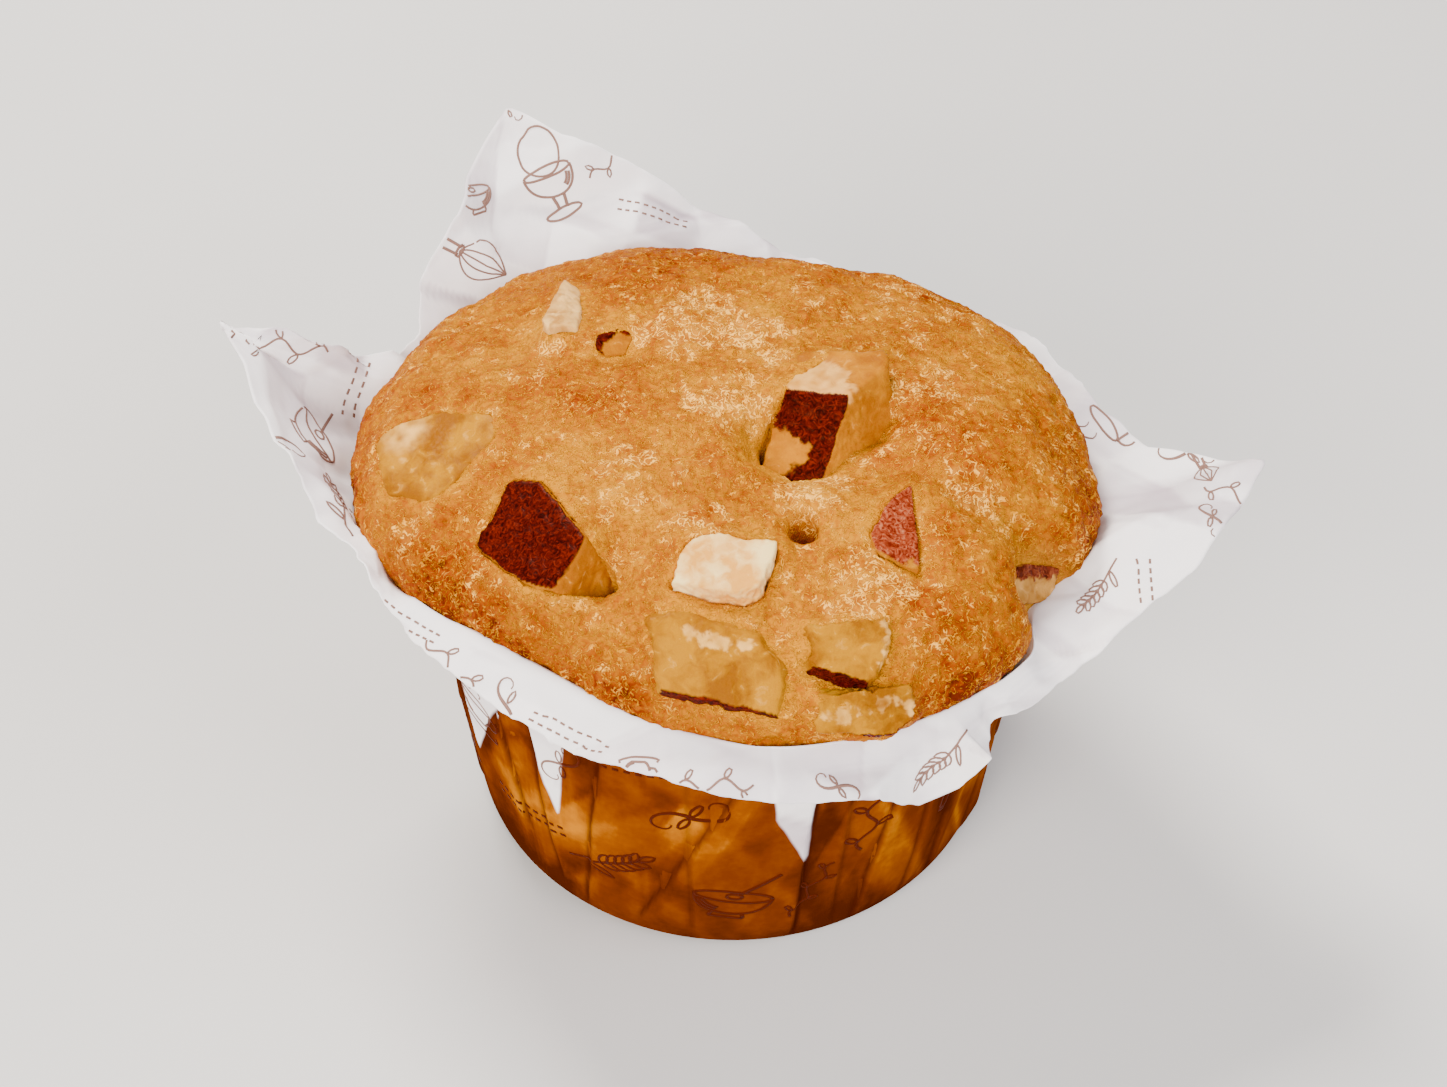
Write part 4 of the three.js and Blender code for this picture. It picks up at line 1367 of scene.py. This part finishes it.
        start_r = self.wall_radius(wall, self.leaving_height)
        ahead = self.wall_radius(wall, self.leaving_height + 1.0)
        fold_out, _ = self.fold_relief(wall, self.leaving_height)
        edge_azimuth, edge_radius, edge_height = self.outline(wall)
        start = np.stack([start_r + fold_out, self.leaving_height + 0 * wall], -1)
        end = np.stack([edge_radius, edge_height], -1)
        along = unit(np.stack([ahead - start_r, 1 + 0 * wall], -1))
        span = np.linalg.norm(end - start, axis=-1, keepdims=True)
        middle = start + along * span * self.leaving_slope
        turned, turn_height = self.turnover_at(wall)
        turn_radius = self.cake.swollen_radius(wall, turn_height) + self.lip_clearance
        crease = np.stack([turn_radius, turn_height], -1)
        for t in np.linspace(0, 1, self.loose_rows + 1)[1:]:
            free = start * (1 - t) ** 2 + middle * 2 * t * (1 - t) + end * t ** 2
            up = min(t / self.turnover_share, 1)
            out = max((t - self.turnover_share) / (1 - self.turnover_share), 0)
            z = mix(start[:, 1], crease[:, 1], up)
            hugging = self.cake.swollen_radius(wall, z) + self.lip_clearance
            folded = np.stack([mix(start[:, 0], hugging, min(4 * up, 1)), z], -1)
            if out > 0:
                folded = mix(crease, end, out) + (0, 0.9 * out * (1 - out))
            point = mix(free, folded, turned[:, None])
            azimuth = wall + angle_between(wall, edge_azimuth) * t
            inside = self.cake.swollen_radius(azimuth, point[:, 1]) + self.lip_clearance
            rows.append(around(azimuth, np.maximum(point[:, 0], inside), point[:, 1]))
        points = np.stack(rows)
        tight = len(rows) - self.loose_rows
        loose = np.clip((np.arange(len(rows)) - tight + 1) / self.loose_rows, 0, 1)
        return points, loose[:, None] + 0 * points[..., 0], wall

    def crumple(self, points: Array, loose: Array) -> Array:
        """How far handled paper stands off its smooth course: soft waves, and facets of
        three widths that meet in creases, growing with how loose it is."""
        noise = Noise(self.crumple_seed)
        free = 0.5 * noise.at(points, 16.0)
        for height, cell, shift in self.facets:
            free += height * noise.facets(points + shift, cell)
        tight = 0.4 * noise.facets(points * self.pressed + 120, 4.5)
        freedom = smoothstep(loose, 0, 0.35)
        wall = np.arctan2(points[..., 1], points[..., 0]) % TURN
        freedom = freedom * mix(1, smoothstep(loose, 0.45, 0.8), self.turnover_at(wall)[0])
        return free * freedom + tight * (1 - freedom)

    def shading(self, points: Array, facets: tuple) -> Array:
        """Painted light and shade of the facets: how they rise and bend along painted_shade_step,
        which stands for the way the light falls.

        Args:
            points: of the sheet.
            facets: for each kind, how much its rise and its bend count, its cell and shift.

        Returns:
            Their sum: painted shade on the petals, where above 0 is darker, and painted light and
                shade on the wall, where above 0 is lighter.
        """
        noise, total = Noise(self.crumple_seed), np.zeros(points.shape[:-1])
        for rising, bending, cell, shift in facets:
            rise, bend = noise.bends(points + shift, cell, np.array(self.painted_shade_step))
            total += rising * rise + bending * bend
        return total

    def build(self, paper: bpy.types.Material) -> tuple[bpy.types.Object, "Sheet"]:
        """The case as a closed thin sheet.

        Args:
            paper: its material.

        Returns:
            The object, and the sheet that the print goes on.
        """
        points, loose, wall = self.sheet()
        normals = grid_normals(points, closed=True)
        normals *= np.sign(normals[self.foot_rows + self.corner_rows + 10, 0, 0])
        foot = self.foot_rows + self.corner_rows
        smooth, amount = points, self.crumple(points, loose)
        amount[:foot] = 0
        azimuth = np.arctan2(points[..., 1], points[..., 0])
        points = points + amount[..., None] * normals
        least = self.cake.swollen_radius(azimuth, points[..., 2]) + self.least_gap
        radius = np.hypot(points[..., 0], points[..., 1])
        push = np.where(loose > 0, np.maximum(least - radius, 0), 0)
        points[..., 0] += push * np.cos(azimuth)
        points[..., 1] += push * np.sin(azimuth)
        normals = grid_normals(points, closed=True)
        normals *= np.sign(normals[foot + 10, 0, 0])

        rows, columns = points.shape[:2]
        hidden = foot + self.wall_rows - 6
        kept = np.concatenate([np.arange(0, hidden, self.hidden_step), np.arange(hidden, rows)])
        outer = points + normals * self.thickness / 2
        inner = (points - normals * self.thickness / 2)[kept]
        count, whole = rows * columns, (rows + len(kept)) * columns
        centre = [[0, 0, 0], [0, 0, self.thickness]]
        everything = np.concatenate([outer.reshape(-1, 3), inner.reshape(-1, 3), centre])
        first = np.arange(columns)
        second = np.roll(first, -1)
        rim = np.stack([
            first + count - columns, second + count - columns,
            second + whole - columns, first + whole - columns,
        ], -1)
        fans = np.concatenate([fan(whole, first)[:, [0, 2, 1]], fan(whole + 1, first + count)])
        surface = Surface(everything, np.concatenate([
            grid_quads(rows, columns, closed=True),
            grid_quads(len(kept), columns, closed=True)[:, ::-1] + count, rim,
        ]), fans)
        layers = self.colours(smooth, loose, wall)
        surface.layers = {
            name: np.concatenate([values.ravel(), values[kept].ravel(), np.full(2, 0.5)])
            for name, values in layers.items()
        }
        thing = surface.to_object("tulip_case", paper)
        face_outwards(thing)
        return thing, Sheet(points, normals, layers["soak"], foot)

    def colours(self, points: Array, loose: Array, wall: Array) -> dict:
        """Where oil has soaked the paper, how deep its colour is with the wall's painted light and
        shade, the fold lines of painted crease shade, and the petals' painted facet shade.

        Args:
            points: of the sheet.
            loose: how loose each is.
            wall: the azimuth of each column.

        Returns:
            The layers soak, in millimetres into the soaked part and below 0 outside it,
            tone, fold and dent, for the sheet.
        """
        noise = Noise(83)
        z = points[..., 2]
        azimuth = wall[None] + 0 * z
        standing, line = self.fold_relief(azimuth, z)
        ragged = noise.layered(points, 5.0, 3)
        soak = 1.5 - 14 * loose + 0.5 * ragged
        flat = np.stack([np.degrees(azimuth) * self.cake.neck_radius * np.pi / 180, z], -1)
        for wedge in self.dry_wedges:
            corners = np.array(wedge, float) * (self.cake.neck_radius * np.pi / 180, 1)
            distance, _ = rim_distance(flat, np.column_stack([corners, 0 * corners[:, 0]]))
            soak = np.minimum(soak, distance + 0.12 * noise.at(points, 3.0))
        streaks = noise.layered(points * (1, 1, 0.35), 6.0, 3)
        # streaks and ragged tone of the soaked paper, painted light on the raised side of each
        # fold, and the wall's painted facet light and shade
        tone = 0.28 + 0.15 * streaks + 0.08 * ragged + 0.2 * (standing - 0.2)
        tone += self.shading(points * self.pressed, self.wall_facet_shade)
        # darker towards the foot
        tone -= 0.14 * (1 - smoothstep(z, 1, 10))
        # painted light on some panels, painted shade on one
        for centre, reach, height, more in self.painted_light_panels:
            tone += more * bell(angle_between(np.radians(centre), azimuth) / np.radians(reach)) * (
                bell((z - height) / 9))
        # painted shade of the petals' facets
        dent = 0.42 + self.shading(points, self.petal_facet_shade)
        return {"soak": soak, "tone": tone, "fold": line * (loose < 0.01), "dent": dent}


# ------------------------------------------------------------------ the print


def pen(x: Array | float, y: Array | float, width: Array | float = 0.34) -> Array:
    """A drawn line: x and y of its points, and how wide it is there, in millimetres."""
    return np.stack(np.broadcast_arrays(x, y, width), -1).astype(float)


def straight(*corners: tuple[float, float], width: float = 0.34) -> Array:
    """Straight lines from corner to corner."""
    x, y = np.array(corners, float).T
    return pen(x, y, width)


def oval(x: float, y: float, across: float, up: float, start: float = 0, end: float = 360) -> Array:
    """The part of an ellipse round (x, y) between two angles in degrees."""
    turn = np.radians(np.linspace(start, end, 48))
    return pen(x + across * np.cos(turn), y + up * np.sin(turn), 0.31)


def leaf(x: float, y: float, angle: float, length: float, breadth: float) -> Array:
    """A pointed oval that starts at (x, y): its half breadth is sin^1.5 along it."""
    turn, heading = np.linspace(0, TURN, 32), np.radians(angle)
    along = length * (1 - np.cos(turn)) / 2
    side = breadth / 2 * np.sign(np.sin(turn)) * np.abs(np.sin(turn)) ** 1.5
    return pen(x + along * np.cos(heading) - side * np.sin(heading),
               y + along * np.sin(heading) + side * np.cos(heading), 0.24)


class Motif(Enum):
    """The small line drawings of a baker's kitchen that are printed on the paper."""

    WHISK = "a balloon whisk"
    EGG_CUP = "an egg in its cup"
    EAR = "an ear of wheat"
    CUP = "a steaming cup on a saucer"
    BOWL = "a mixing bowl with a spoon"
    SCROLL = "a line that curls up at both ends"
    VINE = "a wavy line with leaves"
    STITCHES = "two rows of short dashes"

    def strokes(self) -> list[Array]:
        """The pen lines of the drawing, about 10 mm high, round its middle."""
        t = np.linspace(0, 1, 40)
        if self is Motif.WHISK:
            bulge = np.sin(np.pi * t ** 0.8)
            wires = [pen(k * bulge, 5.8 * t - 0.4, 0.2) for k in (-2, -0.9, 0, 0.9, 2)]
            handle = straight((-0.45, -0.4), (-0.6, -5), (0.6, -5), (0.45, -0.4), width=0.36)
            return [*wires, handle, oval(0, -0.4, 0.75, 0.3), oval(0, -5.1, 0.6, 0.35)]
        if self is Motif.EGG_CUP:
            turn = TURN * t
            tall = np.where(np.sin(turn) > 0, 3.3, 2.3)
            egg = pen(2.2 * np.cos(turn), 1.7 + tall * np.sin(turn), 0.27)
            foot = [straight((k * 0.6, -3.2), (k * 0.4, -4.3), width=0.4) for k in (-1, 1)]
            shade = [oval(0, -0.2, 2.7 - k, 3.0 - k, 195, 235) for k in (0.35, 0.65)]
            return [egg, oval(0, -0.2, 2.7, 3.0, 180, 360), oval(0, -0.2, 2.7, 0.6),
                    oval(0, -4.7, 1.9, 0.5), *foot, *shade]
        if self is Motif.EAR:
            stem = pen(0.6 * np.sin(2.5 * t), 10 * t - 5, 0.26)
            grains = [leaf(0.6 * np.sin(2.5 * k), 10 * k - 5, 90 + side * 38, 2.2, 0.95)
                      for k in (0.45, 0.56, 0.67, 0.78, 0.89) for side in (-1, 1)]
            return [stem, *grains, leaf(0.35, 5, 88, 2.2, 0.9), leaf(0.4, -2.4, 35, 3.4, 0.8)]
        if self is Motif.CUP:
            curl, thin = 0.45 * np.sin(TURN * t), 0.12 + 0.22 * t
            steam = [pen(k + curl, 2.9 + 2.6 * t, thin) for k in (-1, 0.9)]
            left = ((-3, 1.4), (-2.6, -0.8), (-1.6, -2.4))
            side = straight(*left, *((-x, y) for x, y in left[::-1]))
            return [side, oval(0, 1.4, 3, 0.75), oval(3.1, 0.1, 1.2, 1.1, -110, 90),
                    oval(0, -2.7, 4.3, 1.0, 155, 385), *steam, oval(0, -0.2, 2.3, 2.0, 200, 250)]
        if self is Motif.BOWL:
            foot = straight((-1.5, -3.1), (-1.8, -4), (1.8, -4), (1.5, -3.1))
            spoon = [straight((0.4, 0.5), (3.9, 4.6), width=0.4), oval(0.1, 0.1, 0.8, 0.5)]
            shade = [oval(0, 0, 4 - k, 3.3 - k, 195, 250) for k in (0.4, 0.8)]
            return [oval(0, 0, 4, 3.3, 180, 360), oval(0, 0, 4, 1.0), foot, *spoon, *shade]
        if self is Motif.SCROLL:
            s = np.linspace(-1, 1, 90)
            heading = 5.0 * s ** 2
            x, y = np.cumsum(np.cos(heading)), np.cumsum(np.sin(heading))
            middle = (x[0] + x[-1]) / 2, (y[0] + y[-1]) / 2
            line = pen((x - middle[0]) * 0.19, (y - middle[1]) * 0.19, 0.14 + 0.3 * bell(s / 0.5))
            return [line, leaf(0, 0.3, 70, 2.4, 0.8), leaf(0, -0.3, 250, 2.4, 0.8)]
        if self is Motif.VINE:
            stem = pen(14 * t - 7, 0.9 * np.sin(2.5 * TURN * t), 0.28)
            leaves = [leaf(14 * k - 7, 0.9 * np.sin(2.5 * TURN * k), turned, 1.9, 0.8)
                      for k, turned in ((0.12, 60), (0.3, -60), (0.5, 60), (0.7, -60), (0.88, 60))]
            return [stem, *leaves]
        places = itertools.product(np.arange(-4.4, 4.5, 1.1), (-0.6, 0.6))
        return [straight((x, y), (x + 0.3, y), (x + 0.6, y), width=0.26) for x, y in places]


@dataclass(frozen=True)
class Stamp:
    """Where a drawing goes: the azimuth of its middle on the wall, how far it is up the
    paper from the foot, in millimetres, its turn, in degrees, and its size."""

    azimuth: float
    up: float
    turn: float = 0
    size: float = 1


@dataclass
class Sheet:
    """The paper's middle surface as a grid, its outward normals and how soaked it is."""

    points: Array
    normals: Array
    soak: Array
    first_row: int  # the first row past the foot

    def sample(self, grid: Array, row: Array, column: Array) -> Array:
        """Bilinear values of one of the grids, which close across their columns."""
        low = np.clip(np.floor(row).astype(int), 0, len(grid) - 2)
        left = np.floor(column).astype(int)
        up, right = row - low, column - left
        if grid.ndim == 3:
            up, right = up[:, None], right[:, None]
        here, there = left % grid.shape[1], (left + 1) % grid.shape[1]
        lower = mix(grid[low, here], grid[low, there], right)
        return mix(lower, mix(grid[low + 1, here], grid[low + 1, there], right), up)


@dataclass
class PaperPrint:
    """The drawings on the sheet. The ink shows on both faces, so each pen line is a bar
    through the paper that stands 0.05 mm proud of either face."""

    thickness: float
    proud: float = 0.05
    step: float = 0.4
    scale: float = 1.15
    spreading: float = 1.5  # how much wider a line is where oil has taken it along
    reach: int = 6  # rows and columns to either side that give the plane
    newton_steps: int = 14
    damping: float = 0.8
    stride: float = 4.0  # rows or columns, the most that a step may go
    stamps: dict = field(default_factory=lambda: {  # see Stamp for what the numbers are
        Motif.SCROLL: (
            (236, 26, 20, 0.8), (262, 24, -10, 0.9), (170, 14, 30), (38, 26, -15),
            (283, 47, 0, 0.45), (119, 64, 20, 0.4), (176, 56, 65, 0.75), (3, 59.5, 75, 0.6),
            (350, 55, 120, 0.5), (232, 46.5, 20, 0.55),
        ),
        Motif.STITCHES: (
            (250, 31, 4), (224, 12, 8), (180, 28, -4), (76, 28, 0), (336, 31, 5),
            (243, 46.3, 4, 0.8), (207, 45, 6, 0.8), (102, 47.5, 24, 0.8), (158, 47, 160),
            (190, 44, 176, 0.8), (339, 49.5, 160, 0.9), (60, 41.5, 0, 0.8),
        ),
        Motif.EAR: (
            (243, 11, -60, 0.9), (150, 20, 15), (2, 22, 30), (299, 46.5, 76, 0.6),
            (184, 47, 100, 0.7), (340, 44, 110, 0.55),
        ),
        Motif.BOWL: (
            (270, 9, -12, 0.95), (128, 12, -6), (126, 56, 12, 0.6), (171, 48.5, 150, 0.8),
        ),
        Motif.VINE: (
            (298, 20, 82, 0.9), (286, 8, 60, 0.6), (112, 28, 10), (222, 46.5, 8, 0.62),
            (266, 47, -4, 0.6), (106, 57, -28, 0.5), (162, 58.5, 72, 0.75), (353, 62, 118, 0.6),
        ),
        Motif.WHISK: (
            (319, 17, -14, 0.9), (58, 16, 20), (131, 50.5, 150, 0.95), (0, 53, 80, 0.6),
        ),
        Motif.CUP: (
            (212, 24, -8, 0.8), (92, 14, 8), (342, 12, 5), (256, 47.5, -6, 0.42),
            (12, 47.5, 170, 0.8),
        ),
        Motif.EGG_CUP: (
            (196, 12, 10), (22, 12, -6), (117, 55.5, -4, 0.95),
        ),
    })

    def on_sheet(self, stroke: Array, stamp: Stamp, sheet: Sheet) -> tuple[Array, Array, Array]:
        """Carries a pen line to the paper, as a stamp pressed on at the drawing's middle.

        The line is first drawn on the plane that touches the paper there. The place on
        the sheet below each of its points is then found by Newton's steps: what is missing
        is split over the slopes along the rows and the columns, by least squares.

        Args:
            stroke: the pen line.
            stamp: the drawing it belongs to.
            sheet: the paper.

        Returns:
            For each point of the line: its row, its column, and the line's width.
        """
        size = stamp.size * self.scale
        length = size * run_length(stroke[:, :2])
        places = np.linspace(0, length[-1], max(int(length[-1] / self.step), 2) + 1)
        x, y, width = (np.interp(places, length, stroke[:, i]) for i in range(3))
        turn = np.radians(stamp.turn)
        middle = stamp.azimuth / 360 * sheet.points.shape[1]
        strip = sheet.points[sheet.first_row:, int(middle)]
        row = np.interp(stamp.up, run_length(strip), np.arange(len(strip)))
        row = row + sheet.first_row + 0 * x
        column = middle + 0 * x

        def slopes(row: Array, column: Array, step: float) -> tuple[Array, Array]:
            """How the paper's place changes with the row and with the column."""
            along = [sheet.sample(sheet.points, row + k, column) for k in (-step, step)]
            across = [sheet.sample(sheet.points, row, column + k) for k in (-step, step)]
            return (along[1] - along[0]) / (2 * step), (across[1] - across[0]) / (2 * step)

        rise, run = (slope[0] for slope in slopes(row, column, self.reach))
        rise = unit(rise)
        run = unit(run - (run @ rise) * rise)
        across = size * (x * np.cos(turn) - y * np.sin(turn))
        up = size * (x * np.sin(turn) + y * np.cos(turn))
        target = sheet.sample(sheet.points, row, column)[0]
        target = target + across[:, None] * run + up[:, None] * rise
        for _ in range(self.newton_steps):
            missing = target - sheet.sample(sheet.points, row, column)
            a, b = slopes(row, column, 1.0)
            aa, ab, bb = (np.sum(p * q, -1) for p, q in ((a, a), (a, b), (b, b)))
            am, bm = np.sum(a * missing, -1), np.sum(b * missing, -1)
            scale = self.damping / (aa * bb - ab ** 2)
            row = row + np.clip((bb * am - ab * bm) * scale, -self.stride, self.stride)
            column = column + np.clip((aa * bm - ab * am) * scale, -self.stride, self.stride)
        return row, column, width * max(stamp.size, 0.8)

    def bar(self, points: Array, normals: Array, widths: Array) -> Surface:
        """A closed bar along a line, with the four corners line +- side +- normal.

        Args:
            points: of the line.
            normals: of the paper there.
            widths: of the line.

        Returns:
            Its surface.
        """
        side = unit(np.cross(np.gradient(points, axis=0), normals)) * widths[:, None] / 2
        out = normals * (self.thickness / 2 + self.proud)
        corners = [points + i * side + j * out for i, j in ((-1, -1), (-1, 1), (1, 1), (1, -1))]
        quads = grid_quads(len(points), 4, closed=True)
        end = 4 * (len(points) - 1)
        caps = np.array([[3, 2, 1, 0], [end, end + 1, end + 2, end + 3]])
        return Surface(np.stack(corners, 1).reshape(-1, 3), np.concatenate([quads, caps]))

    def build(self, sheet: Sheet, ink: bpy.types.Material) -> bpy.types.Object:
        """All the print in one object; lines are cut off where the paper ends.

        Args:
            sheet: the paper.
            ink: the material.

        Returns:
            The object.
        """
        points, quads, soak, count = [], [], [], 0
        stamps = [(motif, Stamp(*row)) for motif, rows in self.stamps.items() for row in rows]
        for motif, stamp in stamps:
            for stroke in motif.strokes():
                row, column, width = self.on_sheet(stroke, stamp, sheet)
                inside = (row >= sheet.first_row) & (row <= len(sheet.points) - 1.3)
                for run in np.split(np.arange(len(row)), np.flatnonzero(np.diff(inside)) + 1):
                    if not inside[run[0]] or len(run) < 3:
                        continue
                    place = row[run], column[run]
                    line = sheet.sample(sheet.points, *place)
                    wet = sheet.sample(sheet.soak, *place)
                    spread = width[run] * mix(1, self.spreading, smoothstep(wet, -0.1, 0.1))
                    part = self.bar(line, unit(sheet.sample(sheet.normals, *place)), spread)
                    points.append(part.points)
                    quads.append(part.quads + count)
                    soak.append(np.repeat(wet, 4))
                    count += len(part.points)
        surface = Surface(np.concatenate(points), np.concatenate(quads))
        surface.layers = {"soak": np.concatenate(soak)}
        return surface.to_object("paper_print", ink)


# ------------------------------------------------------------------ studio


@dataclass
class Studio:
    """A pale floor, soft lights, and the camera at the photograph's angle."""

    elevation: float = 47.0
    camera_at: tuple = (-1.05, -194.07, 242.24)
    lens: float = 64.69  # mm
    sensor: float = 36.0  # mm
    floor_size: float = 3000.0
    aim: tuple = (0, 0, 40)  # what the lights look at

    def build(self) -> None:
        """Makes the floor, the lights and the camera."""
        self.floor()
        self.area_light("window", (-200, 340, 520), 200, 7.6, "#FFFAF4")
        self.area_light("right", (420, -200, 380), 400, 3.6, "#F8F8FF")
        self.area_light("front", (-240, -460, 330), 360, 7.2, "#FFFAF5")
        world = bpy.data.worlds.new("soft grey room")
        bpy.context.scene.world = world
        world.use_nodes = True
        background = world.node_tree.nodes["Background"]
        background.inputs["Color"].default_value = linear("#E9EBEE")
        background.inputs["Strength"].default_value = 0.32
        camera = bpy.data.cameras.new("photo camera")
        camera.lens = self.lens
        camera.sensor_width = self.sensor
        camera.clip_start = 0.01
        holder = bpy.data.objects.new("photo camera", camera)
        tilt = Matrix.Rotation(np.radians(90 - self.elevation), 4, "X")
        holder.matrix_world = Matrix.Translation(Vector(self.camera_at) * MM) @ tilt
        bpy.context.scene.collection.objects.link(holder)
        bpy.context.scene.camera = holder

    def floor(self) -> None:
        """A square of board, large enough to fill the view."""
        half = self.floor_size / 2
        corners = [[-half, -half, 0], [half, -half, 0], [half, half, 0], [-half, half, 0]]
        square = Surface(np.array(corners), np.array([[0, 1, 2, 3]]))
        square.to_object("floor", StudioBoard().build())

    def area_light(self, name: str, at: tuple, size: float, power: float, colour: str) -> None:
        """A square soft box that looks at the cap.

        Args:
            name: of the light.
            at: its place in millimetres.
            size: its side in millimetres.
            power: in watts.
            colour: hex code.
        """
        light = bpy.data.lights.new(name, "AREA")
        light.energy = power
        light.size = size * MM
        light.color = linear(colour)[:3]
        holder = bpy.data.objects.new(name, light)
        ahead = Vector(self.aim) - Vector(at)
        holder.rotation_euler = ahead.to_track_quat("-Z", "Y").to_euler()
        holder.location = Vector(at) * MM
        bpy.context.scene.collection.objects.link(holder)


# ------------------------------------------------------------------ putting it together


def dress(thing: bpy.types.Object, slot: Slot, *nodes: str) -> None:
    """Fixes a piece to the body and hides the nodes of the imported model that it stands for.

    Args:
        thing: the piece.
        slot: not used.
        nodes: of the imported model, none for a piece that only adds to them.
    """
    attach(thing, BODY)
    if nodes:
        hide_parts(*nodes)
    log.info("%s: %d faces", thing.name, len(thing.data.polygons))


def main() -> None:
    """Builds the muffin, its dice, its case and the studio."""
    logging.basicConfig(level=logging.INFO)
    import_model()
    Studio().build()
    cake = Cake()
    dice = all_dice()
    for piece in dice:
        dress(piece.build(), piece.slot, piece.name)
    dress(cake.build(dice, BakedCrust().build()), Slot.CRUST, "muffin")
    case = TulipCase(cake)
    paper, sheet = case.build(GreaseproofPaper().build())
    dress(paper, Slot.PAPER, "paper_case")
    dress(PaperPrint(case.thickness).build(sheet, PrintInk().build()), Slot.PAPER)


if __name__ == "__main__":
    main()
